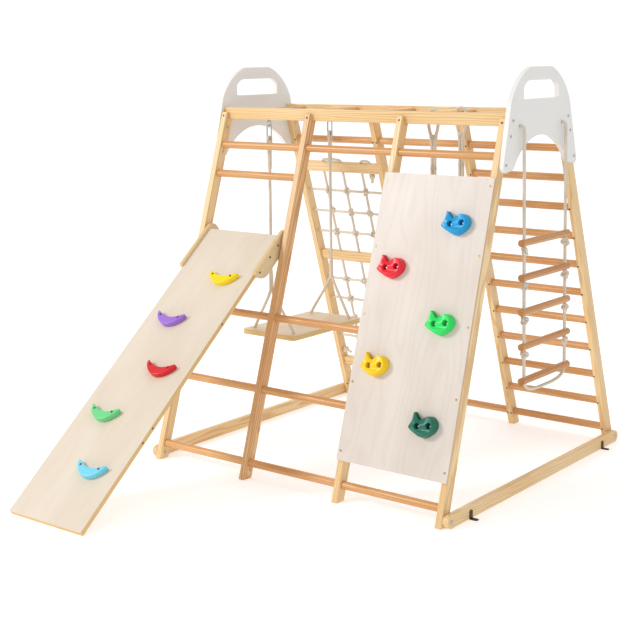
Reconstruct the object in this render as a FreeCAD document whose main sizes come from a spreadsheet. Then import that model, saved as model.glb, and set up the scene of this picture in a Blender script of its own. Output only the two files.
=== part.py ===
"""Indoor wooden climbing frame for toddlers, with a slide, as a parametric FreeCAD document.

Millimetres.  The origin is on the floor in the middle of the frame's four floor brackets.
+Z is up, -Y is the side with the slide and the climbing board, +X the end with the rope ladder.
Four A-frames stand along X and make three bays: the slide bay, the middle bay and the board bay.
"""
import FreeCAD, Part
import math
import os
import Sketcher

Vector = FreeCAD.Vector
Placement = FreeCAD.Placement
Rotation = FreeCAD.Rotation
X_AXIS = Vector(1, 0, 0)
Y_AXIS = Vector(0, 1, 0)
Z_AXIS = Vector(0, 0, 1)

DIMENSIONS = {
    # A-frames
    "leg_width": 22, "leg_depth": 38, "leg_lean": 17.5, "foot_out": 556, "bay_pitch": 370,
    "lip_top": 1150, "beam_bottom": 1126, "beam_top": 1166, "beam_front": 182, "beam_thick": 22,
    "edge_round": 2.5,
    # round bars
    "rung_dia": 25, "rung_socket": 8, "socket_play": 0.1,
    "rung_first": 57, "rung_pitch": 103.7,
    "monkey_pitch": 240, "monkey_height": 1146, "monkey_socket": 10,
    # end panels
    "panel_thick": 15, "panel_top": 1303, "panel_foot": 992, "rope_hole_y": 133,
    "rope_hole_height": 1126, "rope_hole_dia": 11,
    # floor beams and brackets
    "floor_beam_thick": 21, "floor_beam_high": 38, "floor_beam_bolt": 530,
    "bracket_reach": 427, "bracket_wide": 16, "bracket_plate": 2, "bracket_tall": 27,
    "bracket_foot": 25, "bracket_hole_dia": 5, "bracket_hole_out": 13,
    # climbing board and holds
    "board_wide": 392, "board_long": 895, "board_thick": 9, "board_start": 128,
    "hold_offset": 102, "hold_first": 277, "hold_pitch": 150, "hold_thick": 30,
    # slide
    "slide_wide": 310, "slide_long": 1165, "slide_thick": 16, "slide_run": 888.5,
    "cheek_thick": 12, "hook_play": 0.4, "step_thick": 18, "step_first": 187, "step_pitch": 191.5,
    "step_offset": 48,
    # climbing net
    "net_bar_deep": 38, "net_bar_thick": 22, "net_rope_dia": 9, "net_rope_gap": 87,
    "net_knot_dia": 25,
    # ropes
    "rope_dia": 10, "knot_dia": 25,
    # swing
    "eye_ring": 9.25, "eye_wire": 4.5, "eye_height": 1114, "clip_wire": 5, "clip_wide": 19,
    "clip_long": 51, "swing_fork": 528, "seat_top": 392, "seat_thick": 18, "seat_wide": 236,
    "seat_long": 392, "seat_hole_x": 89, "seat_hole_y": 160, "sleeve_dia": 15,
    "seat_web": 6, "seat_recess_dia": 22, "seat_knot_dia": 17,
    # gym rings
    "ring_spacing": 84, "ring_height": 800, "ring_mean_dia": 130, "ring_bar_dia": 18,
    # rope ladder
    "ladder_out": 595, "ladder_rope_y": 131, "dowel_dia": 22, "dowel_long": 300,
    "dowel_first": 349, "dowel_pitch": 106,
}

doc = FreeCAD.newDocument("climbing_frame")
sheet = doc.addObject("Spreadsheet::Sheet", "Dims")
for row, (alias, value) in enumerate(DIMENSIONS.items(), start=1):
    sheet.set("A%d" % row, alias)
    sheet.set("B%d" % row, str(value))
    sheet.setAlias("B%d" % row, alias)
doc.recompute()
NODES = []


def dim(alias):
    """Value of one driving dimension, read from the sheet."""
    return float(sheet.get(alias))


def node(obj, label):
    """Gives an object its node name and puts it in the list that is written out."""
    obj.Label = label
    NODES.append(obj)
    return obj


LEAN = math.radians(dim("leg_lean"))
HALF_LEG = dim("leg_width") / 2
MID_DEPTH = dim("leg_depth") / 2
FRAME_END = 1.5 * dim("bay_pitch") + HALF_LEG
LEG_X = [(i - 1.5) * dim("bay_pitch") for i in range(4)]
SLIDE_BAY, MIDDLE_BAY, BOARD_BAY = [(i - 1) * dim("bay_pitch") for i in range(3)]
FRONT, BACK = -1, 1
RUNG_STEP = [dim("rung_first") + i * dim("rung_pitch") for i in range(11)]
HOOK_STEP = 759.0
FRONT_STEPS = {
    SLIDE_BAY: [57, 291, 525, HOOK_STEP, 992, 1094],
    MIDDLE_BAY: [57, 291, 525, 1094],
    BOARD_BAY: [57, 1094],
}
BACK_STEPS = {SLIDE_BAY: [57, 1094], MIDDLE_BAY: [57, 1094], BOARD_BAY: RUNG_STEP}
RUNG_NODES = {
    (FRONT, SLIDE_BAY): "front_rungs_slide_bay", (FRONT, MIDDLE_BAY): "front_rungs_middle_bay",
    (FRONT, BOARD_BAY): "front_rungs_board_bay", (BACK, SLIDE_BAY): "back_rungs_net_bay",
    (BACK, MIDDLE_BAY): "back_rungs_middle_bay", (BACK, BOARD_BAY): "back_rungs_ladder_bay",
}


def steps_of(side):
    """Rung distances along the legs of one side, by bay."""
    return FRONT_STEPS if side == FRONT else BACK_STEPS


def on_leg(side, along, depth, x=0.0):
    """Point at a distance along a leg's outer face and a depth into the leg from that face."""
    y_front = -dim("foot_out") + along * math.sin(LEAN) + depth * math.cos(LEAN)
    height = along * math.cos(LEAN) - depth * math.sin(LEAN)
    return Vector(x, y_front if side == FRONT else -y_front, height)


def leg_plane(side, along, depth, x):
    """Placement whose local Y runs up the leg and local Z points out of its outer face."""
    turn = Rotation(X_AXIS, 90 - dim("leg_lean"))
    if side == BACK:
        turn = Rotation(Z_AXIS, 180).multiply(turn)
    return Placement(on_leg(side, along, depth, x), turn)


# ---------------------------------------------------------------- building blocks
def origin_plane(body, role):
    """One of a body's own origin planes."""
    return next(f for f in body.Origin.OriginFeatures if f.Role == role)


def new_sketch(body, name, role="XY_Plane", lift=0.0):
    """Sketch on one of the body's origin planes, moved along the plane's normal."""
    sketch = body.newObject("Sketcher::SketchObject", name)
    sketch.AttachmentSupport = [(origin_plane(body, role), "")]
    sketch.MapMode = "FlatFace"
    sketch.AttachmentOffset = Placement(Vector(0, 0, lift), Rotation())
    return sketch


def draw_outline(sketch, points):
    """Closed outline of straight edges; a point given as a triple ends an arc.

    A triple is (x, y, (mid_x, mid_y)): the edge that ends there is an arc through the middle.
    """
    places = [Vector(p[0], p[1], 0) for p in points]
    for i, point in enumerate(points):
        start = places[i - 1]
        if len(point) == 3:
            middle = Vector(point[2][0], point[2][1], 0)
            sketch.addGeometry(Part.Arc(start, middle, places[i]), False)
        else:
            sketch.addGeometry(Part.LineSegment(start, places[i]), False)
    sketch.addConstraint([Sketcher.Constraint("Block", i) for i in range(len(points))])


def draw_circles(sketch, centres, radius, alias=None, factor="/ 2"):
    """Circles of one radius, bound to a cell of the sheet where an alias is given."""
    for centre in centres:
        index = sketch.addGeometry(Part.Circle(Vector(centre[0], centre[1], 0), Z_AXIS, radius), False)
        number = sketch.addConstraint(Sketcher.Constraint("Radius", index, radius))
        if alias:
            sketch.setExpression("Constraints[%d]" % number, "Dims.%s %s" % (alias, factor))


def pad(body, sketch, alias, name="Pad"):
    """Pads a sketch along its plane's normal by a dimension of the sheet."""
    feature = body.newObject("PartDesign::Pad", name)
    feature.Profile = sketch
    feature.setExpression("Length", "Dims." + alias)
    doc.recompute()
    return feature


def pocket(body, sketch, alias, upward, name="Pocket"):
    """Cuts a sketch's outline into the body, along its normal if upward, else against it."""
    before = body.Shape.Volume
    feature = body.newObject("PartDesign::Pocket", name)
    feature.Profile = sketch
    feature.setExpression("Length", "Dims." + alias)
    feature.Reversed = upward
    doc.recompute()
    if body.Shape.Volume > before - 1.0:
        raise RuntimeError("a pocket of %s cuts nothing" % body.Name)
    return feature


def round_edges(body, wanted, alias="edge_round"):
    """Fillets the edges of a body's last feature that a test picks."""
    tip = body.Tip
    names = ["Edge%d" % (i + 1) for i, edge in enumerate(tip.Shape.Edges) if wanted(edge)]
    fillet = body.newObject("PartDesign::Fillet", "EdgeRounding")
    fillet.Base = (tip, names)
    fillet.setExpression("Radius", "Dims." + alias)
    doc.recompute()
    return fillet


def runs_along(edge, direction):
    """Whether an edge is straight and parallel to a direction."""
    if not isinstance(edge.Curve, Part.Line):
        return False
    return edge.tangentAt(edge.FirstParameter).cross(direction).Length < 1e-4


def cylinder(start, direction, radius, length):
    """Solid cylinder from a start point along a direction."""
    return Part.makeCylinder(radius, length, start, direction)


def bar_object(name, centre, direction, dia_alias, length):
    """Round bar as a parametric cylinder, centred on a point."""
    bar = doc.addObject("Part::Cylinder", name)
    bar.setExpression("Radius", "Dims.%s / 2" % dia_alias)
    bar.Height = length
    turn = Rotation(Z_AXIS, direction)
    bar.Placement = Placement(centre - direction * (length / 2), turn)
    return bar


def group(name, members):
    """Separate solids held as one compound."""
    compound = doc.addObject("Part::Compound", name)
    compound.Links = members
    doc.recompute()
    return compound


def solids(name, shapes):
    """Feature that holds a list of separate solids."""
    feature = doc.addObject("Part::Feature", name)
    feature.Shape = Part.makeCompound(shapes) if len(shapes) > 1 else shapes[0]
    return feature


def drilled(base, holes, name):
    """Cuts the holes that reach an object's box out of it, as a boolean of the document."""
    box = base.Shape.BoundBox
    tools = [hole for hole in holes if hole.BoundBox.intersect(box)]
    tools = [hole for hole in tools if hole.common(base.Shape).Volume > 0.5]
    if not tools:
        return base
    cutter = solids(name + "_holes", tools)
    cut = doc.addObject("Part::Cut", name + "_drilled")
    cut.Base = base
    cut.Tool = cutter
    doc.recompute()
    return cut


def plank(name, size, placement, rounding, long_axis):
    """Plank with its four long edges rounded; size is its local X, Y and Z."""
    box = doc.addObject("Part::Box", name + "_blank")
    box.Length, box.Width, box.Height = size
    doc.recompute()
    picked = [(i + 1, rounding, rounding) for i, edge in enumerate(box.Shape.Edges)
              if runs_along(edge, long_axis)]
    rounded = doc.addObject("Part::Fillet", name)
    rounded.Base = box
    rounded.Edges = picked
    rounded.Placement = placement
    doc.recompute()
    return rounded


def rope_tube(points, radius, label):
    """Tube along straight runs joined by tangent arcs; prints its bend radii and length.

    Each arc's radius is 0.45 of the shorter run beside it, divided by the tangent of half
    the turn.
    """
    edges, radii = [], []
    last = points[0]
    for before, corner, after in zip(points, points[1:], points[2:]):
        incoming = (corner - before).normalize()
        outgoing = (after - corner).normalize()
        turn = incoming.getAngle(outgoing)
        reach = 0.45 * min((corner - before).Length, (after - corner).Length)
        start, end = corner - incoming * reach, corner + outgoing * reach
        bisector = (outgoing - incoming).normalize()
        radius_here = reach / math.tan(turn / 2)
        radii.append(radius_here)
        depth = radius_here * (1 / math.cos(turn / 2) - 1)
        edges.append(Part.LineSegment(last, start).toShape())
        edges.append(Part.Arc(start, corner + bisector * depth, end).toShape())
        last = end
    edges.append(Part.LineSegment(last, points[-1]).toShape())
    path = Part.Wire(edges)
    heading = (points[1] - points[0]).normalize()
    profile = Part.Wire(Part.Circle(points[0], heading, radius).toShape())
    tube = path.makePipeShell([profile], True, True)
    expected = math.pi * radius ** 2 * path.Length
    print("%s: length %.0f mm, tightest bend %.1f mm, volume ratio %.4f"
          % (label, path.Length, min(radii or [0]), tube.Volume / expected))
    return tube


# ---------------------------------------------------------------- fasteners
class Screw:
    """A kind of screw: its head, its shank, and the play of the hole that it goes in."""

    def __init__(self, head_radius, head_height, shank_radius, shank_length, cap_radius=0.0):
        self.head_radius = head_radius
        self.head_height = head_height
        self.shank_radius = shank_radius
        self.shank_length = shank_length
        self.cap_radius = cap_radius

    def solid(self, seat, inward):
        """One screw whose head sits on a seat point and whose shank points inward."""
        head = cylinder(seat - inward * self.head_height, inward, self.head_radius, self.head_height)
        rim = [e for e in head.Edges if abs(e.CenterOfMass.sub(seat).dot(inward)) > 0.9 * self.head_height]
        head = head.makeFillet(0.45 * self.head_height, [e for e in rim if isinstance(e.Curve, Part.Circle)])
        parts = [cylinder(seat, inward, self.shank_radius, self.shank_length)]
        if self.cap_radius:
            end = seat + inward * self.shank_length
            parts.append(cylinder(end, inward, self.cap_radius, self.head_height))
        return head.fuse(parts).removeSplitter()

    def hole(self, seat, inward):
        """The hole for one such screw, with room for its cap."""
        drill = cylinder(seat, inward, self.shank_radius + 0.15, self.shank_length + 0.2)
        if not self.cap_radius:
            return drill
        end = seat + inward * self.shank_length
        return drill.fuse(cylinder(end, inward, self.cap_radius + 0.15, self.head_height + 0.2))


LIP_SCREW = Screw(3.5, 1.2, 1.75, 26)
RUNG_SCREW = Screw(3.0, 1.0, 1.5, 14)
BRACKET_SCREW = Screw(3.0, 1.0, 1.5, 14)
PANEL_BOLT = Screw(4.5, 2.0, 2.5, 37, 4.0)
FLOOR_BOLT = Screw(6.5, 2.5, 3.0, 43, 5.5)
BOARD_SCREW = Screw(3.5, 1.0, 1.75, 28)
HOLD_BOLT = Screw(5.5, 8.0, 3.0, 17, 6.0)
CHEEK_SCREW = Screw(3.5, 1.2, 1.75, 34)
STEP_SCREW = Screw(3.5, 1.2, 1.75, 27)
EDGE_SCREW = Screw(3.0, 0.8, 1.5, 20)


def lip_screw_places():
    """One screw through each leg's lip into the top beam."""
    places = []
    for side in (FRONT, BACK):
        inward = on_leg(side, 0, 1).sub(on_leg(side, 0, 0))
        for x in LEG_X:
            places.append((LIP_SCREW, on_leg(side, 1193, 0, x), inward))
    return places


def rung_screw_places():
    """A screw at each end of each rung, from the leg's inner face into the rung."""
    places = []
    for side in (FRONT, BACK):
        outward = on_leg(side, 0, 0).sub(on_leg(side, 0, 1))
        for bay, steps in steps_of(side).items():
            for end in (-1, 1):
                x = bay + end * (dim("bay_pitch") / 2 - HALF_LEG + dim("rung_socket") / 2)
                for along in steps:
                    places.append((RUNG_SCREW, on_leg(side, along, dim("leg_depth"), x), outward))
    return places


def bracket_screw_places():
    """One screw through each floor bracket's upright plate into the floor beam."""
    places = []
    for end in (-1, 1):
        x = end * (FRAME_END + dim("floor_beam_thick") + dim("bracket_plate"))
        for side in (FRONT, BACK):
            places.append((BRACKET_SCREW, Vector(x, side * dim("bracket_reach"), 18), Vector(-end, 0, 0)))
    return places


def panel_bolt_places():
    """Three bolts through each foot of each end panel and the leg behind it."""
    places = []
    for end in (-1, 1):
        x = end * (FRAME_END + dim("panel_thick"))
        for side in (FRONT, BACK):
            for along in (1068, 1156, 1205):
                spot = on_leg(side, along, MID_DEPTH, x)
                places.append((PANEL_BOLT, spot, Vector(-end, 0, 0)))
    return places


def floor_bolt_places():
    """One bolt through each end of each floor beam and the foot of the leg beside it."""
    places = []
    for end in (-1, 1):
        x = end * (FRAME_END + dim("floor_beam_thick"))
        for side in (FRONT, BACK):
            spot = Vector(x, side * dim("floor_beam_bolt"), dim("floor_beam_high") / 2)
            places.append((FLOOR_BOLT, spot, Vector(-end, 0, 0)))
    return places


def board_screw_places():
    """Five screws down each edge of the climbing board into the legs behind it."""
    inward = on_leg(FRONT, 0, 1).sub(on_leg(FRONT, 0, 0))
    return [(BOARD_SCREW, on_leg(FRONT, along, -dim("board_thick"), x), inward)
            for x in LEG_X[2:] for along in (157, 367, 577, 787, 997)]


FRAME_SCREWS = lip_screw_places() + rung_screw_places() + bracket_screw_places()
FRAME_BOLTS = panel_bolt_places() + floor_bolt_places()
BOARD_SCREWS = board_screw_places()
FRAME_HOLES = [kind.hole(seat, inward) for kind, seat, inward in FRAME_SCREWS + FRAME_BOLTS + BOARD_SCREWS]


def screw_node(label, places):
    """All the screws of one group, as separate solids in one node."""
    node(solids(label, [kind.solid(seat, inward) for kind, seat, inward in places]), label)


# ---------------------------------------------------------------- frame
def leg_outline(side):
    """Side view of a leg: flat foot, lean, and the notch at its top for the beam."""
    run = dim("leg_depth") / math.cos(LEAN)
    inner_top = -dim("foot_out") + run + dim("beam_bottom") * math.tan(LEAN)
    outer_top = -dim("foot_out") + dim("lip_top") * math.tan(LEAN)
    points = [
        (-dim("foot_out"), 0), (-dim("foot_out") + run, 0), (inner_top, dim("beam_bottom")),
        (-dim("beam_front"), dim("beam_bottom")), (-dim("beam_front"), dim("lip_top")),
        (outer_top, dim("lip_top")),
    ]
    return points if side == FRONT else [(-y, z) for y, z in points]


def make_leg(side, index):
    """Leg with its rung sockets and screw holes."""
    label = "%s_leg_%d" % ("front" if side == FRONT else "back", index + 1)
    body = doc.addObject("PartDesign::Body", label + "_body")
    outline = new_sketch(body, "Outline", "YZ_Plane", -HALF_LEG)
    draw_outline(outline, leg_outline(side))
    pad(body, outline, "leg_width")
    up = on_leg(side, 1, 0).sub(on_leg(side, 0, 0))
    round_edges(body, lambda edge: runs_along(edge, up))
    for hand in (-1, 1):
        bay = LEG_X[index] + hand * dim("bay_pitch") / 2
        steps = next((s for b, s in steps_of(side).items() if abs(b - bay) < 1), [])
        if not steps:
            continue
        sockets = new_sketch(body, "Sockets", "YZ_Plane", hand * HALF_LEG)
        spots = [on_leg(side, along, MID_DEPTH) for along in steps]
        draw_circles(sockets, [(p.y, p.z) for p in spots], dim("rung_dia") / 2 + dim("socket_play"),
                     "rung_dia", "/ 2 + Dims.socket_play")
        pocket(body, sockets, "rung_socket", upward=(hand < 0))
    body.Placement = Placement(Vector(LEG_X[index], 0, 0), Rotation())
    doc.recompute()
    holes = FRAME_HOLES + (NET_HOLES if side == BACK else [])
    node(drilled(body, holes, label), label)


def make_rungs(side, bay):
    """The rungs of one bay of one side."""
    label = RUNG_NODES[(side, bay)]
    length = dim("bay_pitch") - 2 * HALF_LEG + 2 * dim("rung_socket")
    bars = [bar_object("%s_%d" % (label, i), on_leg(side, along, MID_DEPTH, bay), X_AXIS, "rung_dia", length)
            for i, along in enumerate(steps_of(side)[bay])]
    rungs = group(label + "_bars", bars)
    node(drilled(rungs, FRAME_HOLES, label), label)


def monkey_bar_x():
    """Where the five overhead bars are along X."""
    return [(i - 2) * dim("monkey_pitch") for i in range(5)]


def make_top_beams():
    """The two beams that carry the overhead bars, with a socket for each bar."""
    size = (2 * FRAME_END, dim("beam_thick"), dim("beam_top") - dim("beam_bottom"))
    for side, label in ((FRONT, "front_top_beam"), (BACK, "back_top_beam")):
        low_y = -dim("beam_front") if side == FRONT else dim("beam_front") - dim("beam_thick")
        place = Placement(Vector(-FRAME_END, low_y, dim("beam_bottom")), Rotation())
        base = plank(label + "_plank", size, place, dim("edge_round"), X_AXIS)
        inner = dim("beam_front") - dim("beam_thick")
        sockets = [cylinder(Vector(x, side * inner, dim("monkey_height")), Vector(0, side, 0),
                            dim("rung_dia") / 2 + dim("socket_play"), dim("monkey_socket"))
                   for x in monkey_bar_x()]
        under = Vector(SLIDE_BAY, side * (inner + dim("beam_thick") / 2), dim("beam_bottom"))
        eye_hole = cylinder(under, Z_AXIS, dim("eye_wire") / 2 + 0.15, 25)
        node(drilled(base, FRAME_HOLES + sockets + [eye_hole], label), label)


def make_monkey_bars():
    """Five overhead bars from beam to beam."""
    length = 2 * (dim("beam_front") - dim("beam_thick") + dim("monkey_socket"))
    bars = [bar_object("monkey_bar_%d" % i, Vector(x, 0, dim("monkey_height")), Y_AXIS, "rung_dia", length)
            for i, x in enumerate(monkey_bar_x())]
    node(group("monkey_bars", bars), "monkey_bars")


def panel_outline():
    """Outline of an end panel: rounded head, slanted sides, two feet and an arch between them."""
    top, foot = dim("panel_top"), dim("panel_foot")
    arch_radius = 203.0
    arch_crown = 1094.0
    arch_y = 172.0
    arch_z = arch_crown - arch_radius + math.sqrt(arch_radius ** 2 - arch_y ** 2)
    right = [
        (67, top), (187, 1195, (145, 1256)), (233, 1010), (207, foot, (229, 995)),
        (arch_y, arch_z, (188, 994)),
    ]
    left = [(-arch_y, arch_z, (0, arch_crown)), (-207, foot, (-188, 994)), (-233, 1010, (-229, 995)),
            (-187, 1195), (-67, top, (-145, 1256))]
    return right + left


def hand_hole_outline():
    """Hand hole: flat below, its two upper corners cut at a slant and rounded."""
    low, shoulder, high = 1205, 1238, 1262
    return [
        (104, low), (111, low + 7, (109, low + 2)), (111, shoulder), (62, high, (93, 1256)), (-62, high),
        (-111, shoulder, (-93, 1256)), (-111, low + 7), (-104, low, (-109, low + 2)),
    ]


def make_panel(end, label):
    """End panel on the outside of an end A-frame."""
    body = doc.addObject("PartDesign::Body", label + "_body")
    outline = new_sketch(body, "Outline", "YZ_Plane")
    draw_outline(outline, panel_outline())
    pad(body, outline, "panel_thick")
    hand_hole = new_sketch(body, "HandHole", "YZ_Plane")
    draw_outline(hand_hole, hand_hole_outline())
    pocket(body, hand_hole, "panel_thick", upward=True)
    rope_holes = new_sketch(body, "RopeHoles", "YZ_Plane")
    draw_circles(rope_holes, [(s * dim("rope_hole_y"), dim("rope_hole_height")) for s in (-1, 1)],
                 dim("rope_hole_dia") / 2, "rope_hole_dia")
    pocket(body, rope_holes, "panel_thick", upward=True)
    thickness = dim("panel_thick")
    body.Placement = Placement(Vector(FRAME_END if end > 0 else -FRAME_END - thickness, 0, 0), Rotation())
    doc.recompute()
    node(drilled(body, FRAME_HOLES, label), label)


def make_floor_beam(end, label):
    """Beam with round ends that ties the feet of an end A-frame."""
    high, bolt = dim("floor_beam_high"), dim("floor_beam_bolt")
    body = doc.addObject("PartDesign::Body", label + "_body")
    outline = new_sketch(body, "Outline", "YZ_Plane")
    radius = high / 2
    draw_outline(outline, [(-bolt, 0), (bolt, 0), (bolt, high, (bolt + radius, radius)), (-bolt, high),
                           (-bolt, 0, (-bolt - radius, radius))][1:])
    pad(body, outline, "floor_beam_thick")
    round_edges(body, lambda edge: edge.BoundBox.XLength < 1e-6)
    start = FRAME_END if end > 0 else -FRAME_END - dim("floor_beam_thick")
    body.Placement = Placement(Vector(start, 0, 0), Rotation())
    doc.recompute()
    node(drilled(body, FRAME_HOLES, label), label)


def make_brackets():
    """Four steel L-brackets that hold the floor beams to the floor."""
    plate, wide = dim("bracket_plate"), dim("bracket_wide")
    tall, foot = dim("bracket_tall"), dim("bracket_foot")
    shapes = []
    for end in (-1, 1):
        face = end * (FRAME_END + dim("floor_beam_thick"))
        for side in (FRONT, BACK):
            y = side * dim("bracket_reach") - wide / 2
            upright = Part.makeBox(plate, wide, tall, Vector(face if end > 0 else face - plate, y, 0))
            base = Part.makeBox(foot, wide, plate, Vector(face if end > 0 else face - foot, y, 0))
            bracket = upright.fuse(base).removeSplitter()
            spot = Vector(face + end * dim("bracket_hole_out"), side * dim("bracket_reach"), -1)
            hole = cylinder(spot, Z_AXIS, dim("bracket_hole_dia") / 2, plate + 2)
            ends = [e for e in bracket.Edges if runs_along(e, X_AXIS) and e.CenterOfMass.z > tall - 0.1]
            tips = [e for e in bracket.Edges
                    if runs_along(e, Z_AXIS) and abs(e.CenterOfMass.x - face) > foot - 0.1]
            bracket = bracket.makeFillet(6, ends + tips)
            screw_hole = [h for h in FRAME_HOLES if h.BoundBox.intersect(bracket.BoundBox)]
            shapes.append(bracket.cut([hole] + screw_hole))
    node(solids("floor_brackets", shapes), "floor_brackets")


# ---------------------------------------------------------------- climbing net
NET_ROWS = [889, 803, 718, 519, 435, 352, 270]
NET_BARS = {"net_top_bar": 985, "net_middle_bar": 620, "net_bottom_bar": 156}
NET_COLUMNS = [SLIDE_BAY + i * dim("net_rope_gap") for i in (-1, 0, 1)]


def net_rope_lines():
    """Start and end points of the net's ropes: three up and down, seven across."""
    past_bar = dim("net_bar_deep") / 2 + 4
    low, high = NET_BARS["net_bottom_bar"] - past_bar, NET_BARS["net_top_bar"] + past_bar
    lines = [(on_leg(BACK, low, MID_DEPTH, x), on_leg(BACK, high, MID_DEPTH, x)) for x in NET_COLUMNS]
    reach = dim("bay_pitch") / 2 + HALF_LEG
    left, right = SLIDE_BAY - reach, SLIDE_BAY + reach
    lines += [(on_leg(BACK, row, MID_DEPTH, left), on_leg(BACK, row, MID_DEPTH, right)) for row in NET_ROWS]
    return lines


def line_cylinder(line, radius):
    """Cylinder from one end of a line to the other."""
    start, end = line
    return cylinder(start, (end - start).normalize(), radius, (end - start).Length)


NET_HOLES = [line_cylinder(line, dim("net_rope_dia") / 2 + 0.2) for line in net_rope_lines()]


def make_net():
    """Net of ropes knotted where they cross, between three bars of the net bay."""
    ropes = [line_cylinder(line, dim("net_rope_dia") / 2) for line in net_rope_lines()]
    knots = [Part.makeSphere(dim("net_knot_dia") / 2, on_leg(BACK, row, MID_DEPTH, x))
             for row in NET_ROWS for x in NET_COLUMNS]
    node(solids("net_ropes", [ropes[0].fuse(ropes[1:] + knots)]), "net_ropes")
    length = dim("bay_pitch") - 2 * HALF_LEG
    deep, thick = dim("net_bar_deep"), dim("net_bar_thick")
    for label, along in NET_BARS.items():
        place = leg_plane(BACK, along - deep / 2, MID_DEPTH + thick / 2, SLIDE_BAY + length / 2)
        bar = plank(label + "_plank", (length, deep, thick), place, 6, X_AXIS)
        node(drilled(bar, NET_HOLES, label), label)


# ---------------------------------------------------------------- climbing board and holds
def board_place(x, along, out):
    """Placement on the climbing board: local Y up the board, local Z out of it."""
    return leg_plane(FRONT, along, -out, x)


def hold_spots():
    """Name and centre of each hold, from the lowest up, left and right in turn."""
    names = ["hold_dark_green", "hold_yellow", "hold_green", "hold_red", "hold_blue"]
    sides = [1 if i % 2 == 0 else -1 for i in range(len(names))]
    return [(name, BOARD_BAY + side * dim("hold_offset"), dim("hold_first") + i * dim("hold_pitch"))
            for i, (name, side) in enumerate(zip(names, sides))]


HOLD_BOLTS_LOCAL = [(-19, -4), (20, 2)]
HOLD_RECESS_FLOOR = 8.0


def hold_bolt_places():
    """The two bolts of each hold."""
    places = []
    for _, x, along in hold_spots():
        place = board_place(x, along, dim("board_thick"))
        inward = place.Rotation.multVec(Vector(0, 0, -1))
        for u, v in HOLD_BOLTS_LOCAL:
            places.append((HOLD_BOLT, place.multVec(Vector(u, v, HOLD_RECESS_FLOOR)), inward))
    return places


HOLD_BOLTS = hold_bolt_places()


def make_climbing_board():
    """Plywood board over the board bay's front legs."""
    size = (dim("board_wide"), dim("board_long"), dim("board_thick"))
    place = board_place(BOARD_BAY - dim("board_wide") / 2, dim("board_start"), 0)
    blank = plank("climbing_board_blank", size, place, 2, Z_AXIS)
    holes = FRAME_HOLES + [kind.hole(seat, inward) for kind, seat, inward in HOLD_BOLTS]
    node(drilled(blank, holes, "climbing_board"), "climbing_board")


def hold_outline():
    """Outline of a hold: two horns above, a pointed side and a chin."""
    return [
        (-52, -2, (-53, -6)), (-40, 14, (-48, 8)), (-36, 34, (-41, 25)), (-24, 19, (-28, 26)),
        (-3, 21, (-13, 17)), (24, 28, (11, 32)), (40, 6, (37, 19)), (22, -20, (35, -12)),
        (4, -34, (15, -30)), (-18, -27, (-8, -34)), (-50, -9, (-37, -16)),
    ]


def make_hold(label, x, along):
    """Moulded hold with two recessed bolt holes."""
    body = doc.addObject("PartDesign::Body", label + "_body")
    outline = new_sketch(body, "Outline")
    draw_outline(outline, hold_outline())
    pad(body, outline, "hold_thick")
    body.Placement = board_place(x, along, dim("board_thick"))
    doc.recompute()
    place = body.Placement
    out = place.Rotation.multVec(Z_AXIS)
    recesses = [cylinder(place.multVec(Vector(u, v, HOLD_RECESS_FLOOR)), out, 7.5, dim("hold_thick"))
                for u, v in HOLD_BOLTS_LOCAL]
    shafts = [kind.hole(seat, inward) for kind, seat, inward in HOLD_BOLTS]
    node(drilled(body, recesses + shafts, label), label)


# ---------------------------------------------------------------- slide
HOOK_AXIS = on_leg(FRONT, HOOK_STEP, MID_DEPTH, SLIDE_BAY)
HOOK_RADIUS = dim("rung_dia") / 2 + dim("hook_play")


def slide_slope():
    """Angle of the slide: its underside touches the floor at one end and the hook rung near the other."""
    run, rise = dim("slide_run"), HOOK_AXIS.z
    return math.atan2(rise, run) + math.asin(HOOK_RADIUS / math.hypot(run, rise))


SLOPE = slide_slope()
SLIDE_FOOT = Vector(SLIDE_BAY, HOOK_AXIS.y - dim("slide_run"), 0)
SLIDE_PLACE = Placement(SLIDE_FOOT, Rotation(X_AXIS, math.degrees(SLOPE)))
HOOK_ALONG = math.sqrt(dim("slide_run") ** 2 + HOOK_AXIS.z ** 2 - HOOK_RADIUS ** 2)


def slide_screw_places():
    """Screws of the slide: three per cheek, two per step, three in each edge of the board."""
    places = []
    half = dim("slide_wide") / 2
    middle = dim("slide_thick") / 2
    for hand in (-1, 1):
        inward = Vector(-hand, 0, 0)
        outside = hand * (half + dim("cheek_thick"))
        for along in (1007, 1075, 1128):
            places.append((CHEEK_SCREW, SLIDE_PLACE.multVec(Vector(outside, along, middle)), inward))
        for along in (321, 375, 784):
            places.append((EDGE_SCREW, SLIDE_PLACE.multVec(Vector(hand * half, along, middle)), inward))
    down = SLIDE_PLACE.Rotation.multVec(Vector(0, 0, -1))
    top = dim("slide_thick") + dim("step_thick")
    for _, x, along in step_spots():
        for side in (-1, 1):
            places.append((STEP_SCREW, SLIDE_PLACE.multVec(Vector(x + side * 38, along + 6, top)), down))
    return places


def step_spots():
    """Name, offset from the middle and distance up the slide of each crescent step."""
    colours = ["cyan", "green", "red", "purple", "yellow"]
    sides = [1 if i % 2 == 0 else -1 for i in range(len(colours))]
    return [("slide_step_" + colour, side * dim("step_offset"), dim("step_first") + i * dim("step_pitch"))
            for i, (colour, side) in enumerate(zip(colours, sides))]


SLIDE_SCREWS = slide_screw_places()
SLIDE_HOLES = [kind.hole(seat, inward) for kind, seat, inward in SLIDE_SCREWS]


def make_slide_board():
    """The slide's plywood board; its underside rests on the floor and on the hook rung."""
    size = (dim("slide_wide"), dim("slide_long"), dim("slide_thick"))
    place = SLIDE_PLACE.multiply(Placement(Vector(-dim("slide_wide") / 2, 0, 0), Rotation()))
    blank = plank("slide_board_blank", size, place, 2, Z_AXIS)
    node(drilled(blank, SLIDE_HOLES, "slide_board"), "slide_board")


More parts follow.
